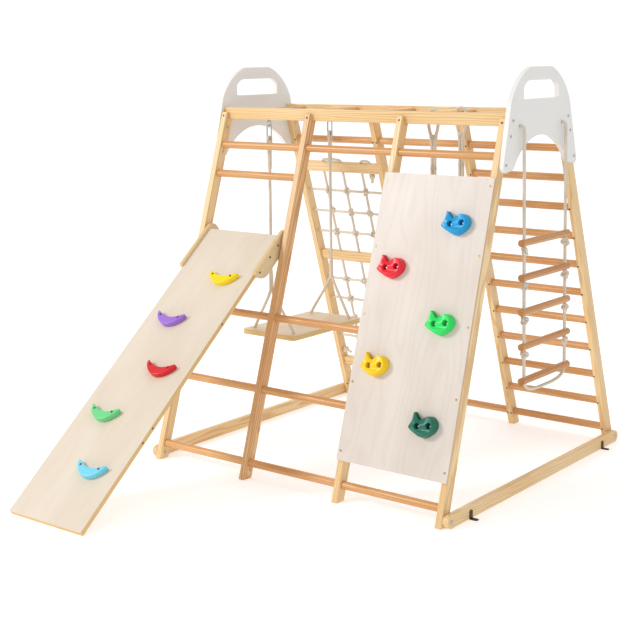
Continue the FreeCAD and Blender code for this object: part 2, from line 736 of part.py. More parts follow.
def cheek_outline():
    """Side view of a hook cheek, up the slide and out of its underside.

    A lip stands above the board, the lower end is rounded, and a slot opens downwards
    round the hook rung.
    """
    lip, belly, hook = 25.0, -28.0, -46.0
    slot_low, slot_high = HOOK_ALONG - HOOK_RADIUS, HOOK_ALONG + HOOK_RADIUS
    rung = -HOOK_RADIUS
    return [
        (994, lip, (989, 23)), (1170, lip), (1197, -2, (1189, 17)), (1197, hook + 14),
        (1183, hook, (1193, hook + 4)), (slot_high, hook), (slot_high, rung),
        (slot_low, rung, (HOOK_ALONG, 0.0)), (slot_low, hook), (1118, hook), (1100, belly, (1106, -41)),
        (1030, belly), (987, 18, (999, -12)),
    ]


def make_cheek(hand, label):
    """Hook cheek on one edge of the slide board."""
    body = doc.addObject("PartDesign::Body", label + "_body")
    outline = new_sketch(body, "Outline", "YZ_Plane")
    draw_outline(outline, cheek_outline())
    pad(body, outline, "cheek_thick")
    half = dim("slide_wide") / 2
    start = half if hand > 0 else -half - dim("cheek_thick")
    body.Placement = SLIDE_PLACE.multiply(Placement(Vector(start, 0, 0), Rotation()))
    doc.recompute()
    node(drilled(body, SLIDE_HOLES, label), label)


def make_step(label, x, along):
    """Crescent step: a smile whose horns point up the slide."""
    body = doc.addObject("PartDesign::Body", label + "_body")
    outline = new_sketch(body, "Outline", "XY_Plane")
    draw_outline(outline, [(52, 27, (59, 25)), (-52, 27, (0, 4)), (-59, 15, (-59, 25)), (59, 15, (0, -27))])
    pad(body, outline, "step_thick")
    round_edges(body, lambda edge: edge.BoundBox.ZLength < 1e-6 and edge.CenterOfMass.z > 1)
    body.Placement = SLIDE_PLACE.multiply(Placement(Vector(x, along, dim("slide_thick")), Rotation()))
    doc.recompute()
    node(drilled(body, SLIDE_HOLES, label), label)


# ---------------------------------------------------------------- swing
BEAM_MIDDLE = dim("beam_front") - dim("beam_thick") / 2
PIVOT_HEIGHT = dim("eye_height") - dim("eye_ring")
CLIP_TOP = PIVOT_HEIGHT + dim("eye_wire") / 2 + 0.35 + dim("clip_wire") / 2
CLIP_BOTTOM = CLIP_TOP - dim("clip_long")
LOOP_MEAN = dim("clip_wire") / 2 + 0.4 + dim("rope_dia") / 2


def make_eyes():
    """Two screw eyes in the undersides of the top beams."""
    shapes = []
    for side in (FRONT, BACK):
        centre = Vector(SLIDE_BAY, side * BEAM_MIDDLE, dim("eye_height"))
        ring = Part.makeTorus(dim("eye_ring"), dim("eye_wire") / 2, centre, X_AXIS)
        shank = cylinder(centre + Z_AXIS * dim("eye_ring"), Z_AXIS, dim("eye_wire") / 2, 26)
        shapes.append(ring.fuse(shank))
    node(solids("swing_eyes", shapes), "swing_eyes")


def clip_frame(side):
    """Carabiner body: an oval of wire with a gap for its gate on the +X side."""
    half, wire = dim("clip_wide") / 2, dim("clip_wire") / 2
    middle = Vector(SLIDE_BAY, side * BEAM_MIDDLE, 0)
    top, bottom = CLIP_TOP - half, CLIP_BOTTOM + half
    upper = Part.makeTorus(half, wire, middle + Z_AXIS * top, Y_AXIS)
    lower = Part.makeTorus(half, wire, middle + Z_AXIS * bottom, Y_AXIS)
    between = Part.makeBox(40, 20, top - bottom, middle + Vector(-20, -10, bottom))
    back = cylinder(middle + Vector(-half, 0, bottom), Z_AXIS, wire, top - bottom)
    stubs = [cylinder(middle + Vector(half, 0, bottom), Z_AXIS, wire, 3),
             cylinder(middle + Vector(half, 0, top - 3), Z_AXIS, wire, 3)]
    lower_half = lower.cut(between).cut(Part.makeBox(40, 20, 20, middle + Vector(-20, -10, top)))
    upper_half = upper.cut(between).cut(Part.makeBox(40, 20, 20, middle + Vector(-20, -10, bottom - 20)))
    return upper_half.fuse([lower_half, back] + stubs)


def make_clips():
    """Two carabiners and their sprung gates."""
    node(solids("swing_carabiners", [clip_frame(side) for side in (FRONT, BACK)]), "swing_carabiners")
    half = dim("clip_wide") / 2
    low, high = CLIP_BOTTOM + half + 3.9, CLIP_TOP - half - 3.2
    for side, label in ((FRONT, "swing_front_gate"), (BACK, "swing_back_gate")):
        gate = doc.addObject("Part::Cylinder", label)
        gate.Radius = dim("clip_wire") / 2 - 0.3
        gate.Height = high - low
        gate.Placement = Placement(Vector(SLIDE_BAY + half, side * BEAM_MIDDLE, low), Rotation())
        node(gate, label)


def make_swing_rope(side, label):
    """One rope of the swing: an eye, a long fall, and a fork down to two holes of the seat."""
    radius = dim("rope_dia") / 2
    y = side * BEAM_MIDDLE
    eye = Part.makeTorus(LOOP_MEAN, radius, Vector(SLIDE_BAY, y, CLIP_BOTTOM), X_AXIS)
    fork = Vector(SLIDE_BAY, y, dim("swing_fork"))
    top = Vector(SLIDE_BAY, y, CLIP_BOTTOM - LOOP_MEAN)
    fall = line_cylinder((fork, top), radius)
    upper_sleeve = line_cylinder((top - Z_AXIS * 96, top - Z_AXIS * 4), dim("sleeve_dia") / 2)
    lower_sleeve = line_cylinder((fork, fork + Z_AXIS * 76), dim("sleeve_dia") / 2)
    parts = [fall, upper_sleeve, lower_sleeve, Part.makeSphere(dim("sleeve_dia") / 2, fork)]
    for hand in (-1, 1):
        hole = Vector(SLIDE_BAY + hand * dim("seat_hole_x"), side * dim("seat_hole_y"), dim("seat_top"))
        under = hole - Z_AXIS * (dim("seat_web") + 4)
        parts.append(line_cylinder((hole, fork), radius))
        parts.append(line_cylinder((under, hole), radius))
        parts.append(Part.makeSphere(radius, hole))
        knot = dim("seat_knot_dia") / 2
        parts.append(Part.makeSphere(knot, hole - Z_AXIS * (dim("seat_web") + knot + 0.1)))
    node(solids(label, [eye.fuse(parts)]), label)


def make_seat():
    """Seat board with rounded corners and four rope holes, each with a recess for its knot below."""
    body = doc.addObject("PartDesign::Body", "swing_seat_body")
    outline = new_sketch(body, "Outline", "XY_Plane")
    half_x, half_y, corner = dim("seat_wide") / 2, dim("seat_long") / 2, 18.0
    cut = corner * (1 - math.sqrt(0.5))
    inner_x, inner_y = half_x - corner, half_y - corner
    points = []
    for sx, sy in ((1, -1), (1, 1), (-1, 1), (-1, -1)):
        side_point = (sx * half_x, sy * inner_y)
        end_point = (sx * inner_x, sy * half_y)
        first, last = (end_point, side_point) if sx * sy < 0 else (side_point, end_point)
        points += [first, last + ((sx * (half_x - cut), sy * (half_y - cut)),)]
    draw_outline(outline, points)
    pad(body, outline, "seat_thick")
    round_edges(body, lambda edge: edge.BoundBox.ZLength < 1e-6)
    body.Placement = Placement(Vector(SLIDE_BAY, 0, dim("seat_top") - dim("seat_thick")), Rotation())
    doc.recompute()
    spots = [Vector(SLIDE_BAY + sx * dim("seat_hole_x"), sy * dim("seat_hole_y"), dim("seat_top"))
             for sx in (-1, 1) for sy in (-1, 1)]
    radius, web = dim("rope_dia") / 2, dim("seat_web")
    holes = [cylinder(spot - Z_AXIS * 30, Z_AXIS, radius + 0.3, 40) for spot in spots]
    tips = [cylinder(spot - Z_AXIS * (web - 0.4), Z_AXIS, radius + 1.2, 40) for spot in spots]
    recesses = [cylinder(spot - Z_AXIS * 30, Z_AXIS, dim("seat_recess_dia") / 2, 30 - web) for spot in spots]
    node(drilled(body, holes + tips + recesses, "swing_seat"), "swing_seat")


# ---------------------------------------------------------------- gym rings
RING_X = dim("monkey_pitch")


def strap_route(y):
    """Rope loop from the overhead bar down to the ring; its two ends meet in the splice."""
    over = dim("rung_dia") / 2 + 0.5 + dim("rope_dia") / 2
    under = dim("ring_bar_dia") / 2 + 0.5 + dim("rope_dia") / 2
    bar = dim("monkey_height")
    ring = dim("ring_height") + dim("ring_mean_dia") / 2
    near = dim("rope_dia") / 2 + 0.2
    offsets = [
        (near, 980), (near, bar - 74), (over + 0.8, bar - 34), (over + 1.2, bar + over * 0.85),
        (0.0, bar + over * 1.32),
        (-over - 1.2, bar + over * 0.85), (-over - 0.8, bar - 34), (-near, bar - 74), (-near, ring + 58),
        (-under - 1.0, ring + 26), (-under - 1.2, ring - under * 0.85), (0.0, ring - under * 1.32),
        (under + 1.2, ring - under * 0.85),
        (under + 1.0, ring + 26), (near, ring + 58), (near, 979),
    ]
    return [Vector(RING_X + x, y, z) for x, z in offsets]


def make_gym_ring(side, place):
    """Wooden ring on a doubled rope over the fourth overhead bar."""
    y = side * dim("ring_spacing")
    label = "ring_%s_strap" % place
    node(solids(label, [rope_tube(strap_route(y), dim("rope_dia") / 2, label)]), label)
    ring = doc.addObject("Part::Torus", "gym_ring_" + place)
    ring.setExpression("Radius1", "Dims.ring_mean_dia / 2")
    ring.setExpression("Radius2", "Dims.ring_bar_dia / 2")
    ring.Placement = Placement(Vector(RING_X, y, dim("ring_height")), Rotation(Y_AXIS, 90))
    node(ring, "gym_ring_" + place)


# ---------------------------------------------------------------- rope ladder
def dowel_heights():
    """Heights of the five dowels, from the lowest up."""
    return [dim("dowel_first") + i * dim("dowel_pitch") for i in range(5)]


def ladder_route():
    """The ladder's rope: out of one panel hole, down, under the lowest dowel and up to the other."""
    x, y = dim("ladder_out"), dim("ladder_rope_y")
    hole_y, hole_z, face = dim("rope_hole_y"), dim("rope_hole_height"), FRAME_END + dim("panel_thick")
    low = dim("dowel_first")
    half = [
        (face + 0.5, hole_y, hole_z), (x - 7, hole_y, hole_z - 0.2), (x - 1.5, hole_y, hole_z - 4.5),
        (x, hole_y, hole_z - 13), (x, hole_y - 0.3, hole_z - 60), (x, y, low + 40), (x, y - 0.5, low - 10),
        (x, y - 22, low - 30), (x, y - 70, low - 38),
    ]
    return [Vector(px, -py, pz) for px, py, pz in half] + [Vector(*p) for p in reversed(half)]


def make_ladder():
    """Rope ladder with five dowels, knots that carry them, and its knotted ends in the panel."""
    radius = dim("rope_dia") / 2
    node(solids("ladder_rope", [rope_tube(ladder_route(), radius, "ladder_rope")]), "ladder_rope")
    out, length = dim("ladder_out"), dim("dowel_long")
    bars = [bar_object("ladder_dowel_%d" % i, Vector(out, 0, z), Y_AXIS, "dowel_dia", length)
            for i, z in enumerate(dowel_heights())]
    dowels = group("ladder_dowel_bars", bars)
    passage = rope_tube(ladder_route(), radius + 0.4, "ladder rope's way through dowels and knots")
    node(drilled(dowels, [passage], "ladder_dowels"), "ladder_dowels")
    knot = dim("knot_dia") / 2
    knots = []
    for z in dowel_heights()[1:]:
        for s in (-1, 1):
            centre = Vector(out, s * dim("ladder_rope_y"), z - dim("dowel_dia") / 2 - knot + 1)
            knots.append(Part.makeSphere(knot, centre).cut(passage))
    node(solids("ladder_knots", knots), "ladder_knots")
    ends = []
    for s in (-1, 1):
        inner_face = Vector(FRAME_END, s * dim("rope_hole_y"), dim("rope_hole_height"))
        stub = cylinder(inner_face - X_AXIS * 4, X_AXIS, radius, dim("panel_thick") + 1.2)
        ends.append(stub.fuse(Part.makeSphere(knot, inner_face - X_AXIS * (knot + 0.2), X_AXIS)))
    node(solids("ladder_rope_ends", ends), "ladder_rope_ends")


def build():
    """Builds every node of the climbing frame."""
    for index in range(4):
        make_leg(FRONT, index)
        make_leg(BACK, index)
    make_top_beams()
    make_monkey_bars()
    for side, bay in RUNG_NODES:
        make_rungs(side, bay)
    make_panel(-1, "left_panel")
    make_panel(1, "right_panel")
    make_floor_beam(-1, "left_floor_beam")
    make_floor_beam(1, "right_floor_beam")
    make_brackets()
    make_net()
    make_climbing_board()
    for label, x, along in hold_spots():
        make_hold(label, x, along)
    make_slide_board()
    make_cheek(-1, "slide_left_cheek")
    make_cheek(1, "slide_right_cheek")
    for label, x, along in step_spots():
        make_step(label, x, along)
    make_eyes()
    make_clips()
    make_swing_rope(FRONT, "swing_front_rope")
    make_swing_rope(BACK, "swing_back_rope")
    make_seat()
    make_gym_ring(FRONT, "front")
    make_gym_ring(BACK, "back")
    make_ladder()
    screw_node("frame_screws", FRAME_SCREWS)
    screw_node("frame_bolts", FRAME_BOLTS)
    screw_node("board_screws", BOARD_SCREWS)
    screw_node("hold_bolts", HOLD_BOLTS)
    screw_node("slide_screws", SLIDE_SCREWS)


def write_parts():
    """Checks every object and every node, then writes one STEP file for each node."""
    doc.recompute()
    for obj in doc.Objects:
        if "Invalid" in obj.State or "Error" in obj.State:
            raise RuntimeError("object failed: %s %s" % (obj.Name, obj.State))
    for obj in NODES:
        if obj.Shape.isNull() or not obj.Shape.isValid() or obj.Shape.Volume <= 0:
            raise RuntimeError("bad shape: " + obj.Label)
    os.makedirs("parts", exist_ok=True)
    for obj in NODES:
        obj.Shape.exportStep("parts/%s.step" % obj.Label)
    print("%d nodes, slide slope %.2f degrees, hook axis y %.2f z %.2f, pivot %.2f"
          % (len(NODES), math.degrees(SLOPE), HOOK_AXIS.y, HOOK_AXIS.z, PIVOT_HEIGHT))


build()
write_parts()
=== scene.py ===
"""Looks of an indoor wooden climbing frame for toddlers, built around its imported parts.

Metres, +Z up, the slide and the climbing board on the -Y side, the rope ladder on the +X end.
Wood, plywood, paint, moulded plastic, steel and plaited cotton each have a finish of their own.
"""

import logging
import math
from dataclasses import dataclass, field
from enum import Enum
from itertools import accumulate

import bmesh
import bpy
import numpy as np
from mathutils import Euler, Matrix, Vector


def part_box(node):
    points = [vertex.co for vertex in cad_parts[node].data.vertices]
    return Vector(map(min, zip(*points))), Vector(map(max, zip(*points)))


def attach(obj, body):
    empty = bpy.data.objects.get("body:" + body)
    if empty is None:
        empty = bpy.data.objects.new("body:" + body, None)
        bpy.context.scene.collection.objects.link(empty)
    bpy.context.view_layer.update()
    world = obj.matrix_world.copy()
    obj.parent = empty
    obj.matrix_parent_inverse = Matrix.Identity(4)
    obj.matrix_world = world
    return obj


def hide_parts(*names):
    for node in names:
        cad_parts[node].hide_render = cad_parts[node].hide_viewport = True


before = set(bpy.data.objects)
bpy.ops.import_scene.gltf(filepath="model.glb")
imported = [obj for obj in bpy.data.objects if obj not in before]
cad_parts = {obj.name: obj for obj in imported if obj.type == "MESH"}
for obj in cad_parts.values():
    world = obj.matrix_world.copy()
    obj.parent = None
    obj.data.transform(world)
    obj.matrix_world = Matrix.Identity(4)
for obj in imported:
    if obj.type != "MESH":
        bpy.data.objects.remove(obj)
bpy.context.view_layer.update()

logging.basicConfig(level=logging.INFO, format="%(message)s")
log = logging.getLogger("climbing_frame")

MM = 0.001
MERGE = 1e-6
Socket = bpy.types.NodeSocket
Colour = tuple[float, float, float]


# ---------------------------------------------------------------- node helpers
class Graph:
    """Adds and joins the nodes of one material or one node group."""

    def __init__(self, tree: bpy.types.NodeTree) -> None:
        """Keeps the tree that nodes are added to."""
        self.tree = tree

    def add(self, kind: str, inputs: dict | None = None, **settings: object) -> bpy.types.Node:
        """Adds a node.

        Args:
            kind: The node's type, such as ShaderNodeMath.
            inputs: Values or sockets by input name or index.
            settings: Attributes of the node.

        Returns:
            The new node.
        """
        node = self.tree.nodes.new(kind)
        for name, value in settings.items():
            setattr(node, name, value)
        for key, value in (inputs or {}).items():
            if isinstance(value, Socket):
                self.tree.links.new(value, node.inputs[key])
            else:
                node.inputs[key].default_value = value
        return node

    def join(self, value: Socket, target: Socket) -> None:
        """Links an output to an input."""
        self.tree.links.new(value, target)

    def group(self, tree: bpy.types.NodeTree, inputs: dict) -> bpy.types.Node:
        """Places a shared node group."""
        return self.add("ShaderNodeGroup", inputs, node_tree=tree)

    def math(self, operation: str, *values: float | Socket) -> Socket:
        """Result of a Math node on up to three numbers or sockets."""
        return self.add("ShaderNodeMath", dict(enumerate(values)), operation=operation).outputs[0]

    def mix(self, factor: float | Socket, first: Socket | tuple, second: Socket | tuple,
            blend: str = "MIX") -> Socket:
        """Colour mixed from two by a factor."""
        node = self.add("ShaderNodeMix", {0: factor, 6: first, 7: second}, data_type="RGBA", blend_type=blend)
        return node.outputs[2]

    def noise(self, vector: Socket, scale: float, detail: float = 2.0, roughness: float = 0.5) -> Socket:
        """Noise from 0 to 1 at a scale in cycles per unit."""
        values = {"Vector": vector, "Scale": scale, "Detail": detail, "Roughness": roughness}
        return self.add("ShaderNodeTexNoise", values).outputs[0]

    def stretch(self, vector: Socket, scale: tuple, location: tuple = (0, 0, 0)) -> Socket:
        """Vector scaled along each axis, then moved."""
        values = {"Vector": vector, "Location": location, "Scale": scale}
        return self.add("ShaderNodeMapping", values).outputs[0]

    def ramp(self, value: Socket, low: float, high: float) -> Socket:
        """Value moved smoothly from 0 at low to 1 at high."""
        values = {"Value": value, "From Min": low, "From Max": high}
        return self.add("ShaderNodeMapRange", values, interpolation_type="SMOOTHSTEP").outputs[0]


KINDS = {"vector": "NodeSocketVector", "colour": "NodeSocketColor", "value": "NodeSocketFloat"}


def new_group(name: str, takes: dict[str, str], gives: dict[str, str]) -> tuple[Graph, dict, dict]:
    """Starts a shader node group.

    Args:
        name: The group's name.
        takes: Its inputs, each with vector, colour or value.
        gives: Its outputs, each with vector, colour or value.

    Returns:
        The group's graph, its input sockets by name, and the sockets that its results feed.
    """
    tree = bpy.data.node_groups.new(name, "ShaderNodeTree")
    for label, kind in takes.items():
        tree.interface.new_socket(name=label, in_out="INPUT", socket_type=KINDS[kind])
    for label, kind in gives.items():
        tree.interface.new_socket(name=label, in_out="OUTPUT", socket_type=KINDS[kind])
    graph = Graph(tree)
    source = graph.add("NodeGroupInput").outputs
    target = graph.add("NodeGroupOutput").inputs
    return graph, {label: source[label] for label in takes}, {label: target[label] for label in gives}


def grain_group() -> bpy.types.NodeTree:
    """Timber with its grain along X: growth rings round a far pith, fibres, flecks and slow shade.

    Rings are a sine of the distance from a line along X, bent by slow noise; fibres and flecks are
    noise stretched along X.

    Returns:
        The group.
    """
    graph, given, result = new_group(
        "timber_grain",
        {"Vector": "vector", "Light": "colour", "Dark": "colour", "Warm": "colour",
         "Rings": "value", "Contrast": "value", "Flecks": "value", "Branches": "value"},
        {"Color": "colour", "Height": "value", "Sheen": "value"})
    place = given["Vector"]
    slow = graph.noise(graph.stretch(place, (1.1, 14, 14)), 1.0, 3.0)
    bend = graph.math("MULTIPLY", graph.math("SUBTRACT", slow, 0.5), 0.05)
    lean = graph.stretch(place, (0.0, 1.0, 1.0), (0, 0.085, 0.041))
    reach = graph.add("ShaderNodeVectorMath", {0: lean}, operation="LENGTH").outputs["Value"]
    spots = graph.stretch(place, (5.5, 17, 17), (0.4, 0.2, 0.3))
    away = graph.add("ShaderNodeTexVoronoi", {"Vector": spots, "Scale": 1.0}).outputs["Distance"]
    branch, swirl = [graph.math("MULTIPLY", graph.math("SUBTRACT", 1.0, graph.ramp(away, 0.05, edge)),
                                given["Branches"]) for edge in (0.13, 0.42)]
    radius = graph.math("ADD", reach, graph.math("MULTIPLY_ADD", swirl, 0.012, bend))
    wave = graph.math("SINE", graph.math("MULTIPLY", radius, given["Rings"]))
    late = graph.ramp(wave, -0.35, 0.98)
    fibre = graph.noise(graph.stretch(place, (14, 900, 900)), 1.0, 3.0, 0.6)
    streak = graph.noise(graph.stretch(place, (3.2, 160, 160)), 1.0, 2.0)
    fleck = graph.ramp(graph.noise(graph.stretch(place, (95, 1500, 1500), (3, 1, 2)), 1.0, 0.0), 0.68, 0.76)
    patch = graph.noise(graph.stretch(place, (2.0, 9, 9), (5, 2, 7)), 1.0, 1.0)
    tone = graph.mix(graph.ramp(patch, 0.3, 0.72), given["Light"], given["Warm"])
    strength = graph.math("MULTIPLY", given["Contrast"], graph.math("MULTIPLY_ADD", streak, 0.9, 0.35))
    ringed = graph.mix(graph.math("MULTIPLY", late, strength), tone, given["Dark"])
    hair = graph.math("MULTIPLY", graph.ramp(fibre, 0.5, 0.75), 0.22)
    combed = graph.mix(graph.math("MULTIPLY", hair, given["Contrast"]), ringed, given["Dark"])
    specked = graph.mix(graph.math("MULTIPLY", fleck, given["Flecks"]), combed, given["Dark"])
    heart = graph.mix(0.55, given["Dark"], (0.16, 0.055, 0.02, 1.0))
    specked = graph.mix(graph.math("MULTIPLY", branch, 0.8), specked, heart)
    graph.join(specked, result["Color"])
    relief = graph.math("SUBTRACT", graph.math("MULTIPLY", fibre, 0.5), graph.math("MULTIPLY", fleck, 0.5))
    graph.join(graph.math("MULTIPLY_ADD", late, 0.35, relief), result["Height"])
    sheen = graph.math("MULTIPLY_ADD", fibre, 0.5, graph.math("MULTIPLY", late, 0.3))
    graph.join(sheen, result["Sheen"])
    return graph.tree


def veneer_group() -> bpy.types.NodeTree:
    """Peeled face veneer with its grain along X.

    Its figure is the contour lines of a slow noise; fine pores are noise stretched along X.

    Returns:
        The group.
    """
    graph, given, result = new_group(
        "peeled_veneer",
        {"Vector": "vector", "Light": "colour", "Dark": "colour", "Warm": "colour", "Contrast": "value"},
        {"Color": "colour", "Height": "value", "Sheen": "value"})
    place = given["Vector"]
    hills = graph.noise(graph.stretch(place, (0.9, 4.6, 0.6)), 1.0, 3.0, 0.42)
    contour = graph.math("SINE", graph.math("MULTIPLY", hills, 120.0))
    line = graph.ramp(contour, 0.1, 1.0)
    pores = graph.noise(graph.stretch(place, (22, 620, 90)), 1.0, 3.0, 0.62)
    cloud = graph.noise(graph.stretch(place, (2.4, 6.5, 3)), 1.0, 2.0)
    base = graph.mix(graph.ramp(cloud, 0.3, 0.7), given["Light"], given["Warm"])
    figured = graph.mix(graph.math("MULTIPLY", line, graph.math("MULTIPLY", given["Contrast"], 0.5)), base,
                        given["Dark"])
    pored = graph.math("MULTIPLY", graph.ramp(pores, 0.5, 0.78),
                       graph.math("MULTIPLY", given["Contrast"], 0.6))
    graph.join(graph.mix(pored, figured, given["Dark"]), result["Color"])
    relief = graph.math("MULTIPLY_ADD", pores, -0.6, graph.math("MULTIPLY", line, 0.3))
    graph.join(relief, result["Height"])
    sheen = graph.math("MULTIPLY_ADD", pores, 0.6, graph.math("MULTIPLY", cloud, 0.3))
    graph.join(sheen, result["Sheen"])
    return graph.tree


def ply_group() -> bpy.types.NodeTree:
    """Plies of a board whose thickness runs along Z: masks for the core and for its dark glue plies.

    The distance to the nearer face tells face veneer from core; the core's plies alternate.

    Returns:
        The group.
    """
    graph, given, result = new_group(
        "ply_layers", {"Vector": "vector", "Thickness": "value", "Veneer": "value"},
        {"Core": "value", "Cross": "value", "Glue": "value"})
    depth = graph.add("ShaderNodeSeparateXYZ", {0: given["Vector"]}).outputs["Z"]
    inside = graph.math("MINIMUM", depth, graph.math("SUBTRACT", given["Thickness"], depth))
    count = graph.math("DIVIDE", inside, given["Veneer"])
    graph.join(graph.ramp(count, 0.72, 0.8), result["Core"])
    turn = graph.math("SINE", graph.math("MULTIPLY", graph.math("SUBTRACT", count, 0.75), math.pi))
    graph.join(graph.ramp(turn, -0.25, 0.25), result["Cross"])
    glue = graph.math("SUBTRACT", 1.0, graph.ramp(graph.math("ABSOLUTE", turn), 0.04, 0.22))
    graph.join(glue, result["Glue"])
    return graph.tree


def handling_group() -> bpy.types.NodeTree:
    """Marks of handling, as masks from 0 to 1: slow smudges, small rubbed spots and fine grit.

    Returns:
        The group.
    """
    graph, given, result = new_group(
        "handling", {"Vector": "vector"}, {"Smudge": "value", "Rub": "value", "Grit": "value"})
    place = given["Vector"]
    graph.join(graph.ramp(graph.noise(place, 7.0, 4.0), 0.35, 0.7), result["Smudge"])
    graph.join(graph.ramp(graph.noise(place, 60.0, 3.0, 0.65), 0.55, 0.72), result["Rub"])
    graph.join(graph.noise(place, 1400.0, 2.0), result["Grit"])
    return graph.tree


def plait_group() -> bpy.types.NodeTree:
    """Plaited cord on a tube's UV map: U once round, V along in diameters.

    Two families of slanted strands cross; each is a sine of U and V, and a product of sines
    says which one lies on top. A third output, high where the plait is low, is the mask for
    painted shade in the hollows between the strands.

    Returns:
        The group.
    """
    graph, given, result = new_group(
        "plaited_cotton", {"Vector": "vector", "Strands": "value", "Pitch": "value"},
        {"Height": "value", "Gap": "value", "Fluff": "value"})
    parts = graph.add("ShaderNodeSeparateXYZ", {0: given["Vector"]})
    around = graph.math("MULTIPLY", parts.outputs["X"], given["Strands"])
    along = graph.math("MULTIPLY", parts.outputs["Y"], given["Pitch"])
    slants = [graph.math(op, around, along) for op in ("ADD", "SUBTRACT")]
    first, second = [graph.math("ABSOLUTE", graph.math("SINE", graph.math("MULTIPLY", s, math.pi)))
                     for s in slants]
    sides = [graph.math("SINE", graph.math("MULTIPLY", s, 2 * math.pi)) for s in slants]
    over = graph.ramp(graph.math("MULTIPLY", *sides), -0.2, 0.2)
    height = graph.math("MULTIPLY_ADD", graph.math("SUBTRACT", first, second), over, second)
    yarn = graph.noise(graph.stretch(given["Vector"], (26, 4, 1)), 1.0, 3.0, 0.7)
    graph.join(graph.math("MULTIPLY_ADD", yarn, 0.35, height), result["Height"])
    # Mask for painted shade: high in the hollows between strands, where the plait is low.
    graph.join(graph.math("SUBTRACT", 1.0, graph.ramp(height, 0.05, 0.6)), result["Gap"])
    graph.join(yarn, result["Fluff"])
    return graph.tree


@dataclass(frozen=True)
class NodeGroups:
    """The node groups that the finishes share."""

    grain: bpy.types.NodeTree
    veneer: bpy.types.NodeTree
    ply: bpy.types.NodeTree
    handling: bpy.types.NodeTree
    plait: bpy.types.NodeTree


GROUPS = NodeGroups(grain_group(), veneer_group(), ply_group(), handling_group(), plait_group())


def new_material(name: str, constants: dict[str, float | tuple]
                 ) -> tuple[bpy.types.Material, Graph, bpy.types.Node]:
    """Material with a Principled shader.

    Args:
        name: The material's name.
        constants: Values on the shader's own sockets that are the same all over.

    Returns:
        The material, its graph and the shader node.
    """
    material = bpy.data.materials.new(name)
    material.use_nodes = True
    material.node_tree.nodes.clear()
    graph = Graph(material.node_tree)
    shader = graph.add("ShaderNodeBsdfPrincipled", constants)
    graph.add("ShaderNodeOutputMaterial", {0: shader.outputs[0]})
    return material, graph, shader


def bump(graph: Graph, shader: bpy.types.Node, height: Socket, strength: float, distance: float) -> None:
    """Joins a height to the shader's normal through a Bump node."""
    node = graph.add("ShaderNodeBump", {"Height": height, "Strength": strength, "Distance": distance})
    graph.join(node.outputs[0], shader.inputs["Normal"])


def rgba(colour: Colour) -> tuple[float, float, float, float]:
    """Linear colour with alpha.

    Args:
        colour: An sRGB colour as 0 to 255.

    Returns:
        Red, green, blue and alpha.
    """
    parts = np.array(colour) / 255.0
    linear = np.where(parts <= 0.04045, parts / 12.92, ((parts + 0.055) / 1.055) ** 2.4)
    return (*linear.tolist(), 1.0)


# ---------------------------------------------------------------- places
class Side(Enum):
    """The two slopes of the A-frames."""

    FRONT = -1
    BACK = 1


class Way(Enum):
    """Turns that bring a piece's grain along X, as Euler angles in degrees."""

    ALONG_X = (0.0, 0.0, 0.0)
    ALONG_Y = (0.0, 0.0, -90.0)
    FRONT_LEG = (17.5, 90.0, 0.0)
    BACK_LEG = (-17.5, 90.0, 0.0)


@dataclass(frozen=True)
class LegSlope:
    """Where the legs stand: lean, foot distance and section."""

    lean: float = math.radians(17.5)
    foot_out: float = 0.556
    depth: float = 0.038
    width: float = 0.022
    pitch: float = 0.370

    def point(self, side: Side, along: float, depth: float, x: float = 0.0) -> Vector:
        """Point on or in a leg.

        Args:
            side: The slope that the leg is on.
            along: Distance up the leg's outer face.
            depth: Depth into the leg.
            x: Place across the frame.

        Returns:
            The point.
        """
        y = -self.foot_out + along * math.sin(self.lean) + depth * math.cos(self.lean)
        z = along * math.cos(self.lean) - depth * math.sin(self.lean)
        return Vector((x, y if side is Side.FRONT else -y, z))

    def plane(self, side: Side, along: float, out: float, x: float) -> Matrix:
        """Placement whose local Y runs up the leg and whose local Z points out of its face.

        Args:
            side: The slope that the leg is on.
            along: Distance up the leg's outer face.
            out: Distance out of that face.
            x: Place across the frame.

        Returns:
            The placement.
        """
        turn = Matrix.Rotation(math.pi / 2 - self.lean, 4, "X")
        if side is Side.BACK:
            turn = Matrix.Rotation(math.pi, 4, "Z") @ turn
        return Matrix.Translation(self.point(side, along, -out, x)) @ turn


LEGS = LegSlope()
SLIDE_BAY, BOARD_BAY = -LEGS.pitch, LEGS.pitch
HOOK_STEP = 0.759
HOOK_RADIUS = 0.0129
SLIDE_RUN = 0.8885


def slide_place() -> Matrix:
    """Placement of the slide board: local Y up the slide, local Z out of its face.

    Its underside touches the floor at one end and the hook rung, a circle, near the other.

    Returns:
        The placement.
    """
    hook = LEGS.point(Side.FRONT, HOOK_STEP, LEGS.depth / 2)
    slope = math.atan2(hook.z, SLIDE_RUN) + math.asin(HOOK_RADIUS / math.hypot(SLIDE_RUN, hook.z))
    return Matrix.Translation((SLIDE_BAY, hook.y - SLIDE_RUN, 0)) @ Matrix.Rotation(slope, 4, "X")


SLIDE = slide_place()


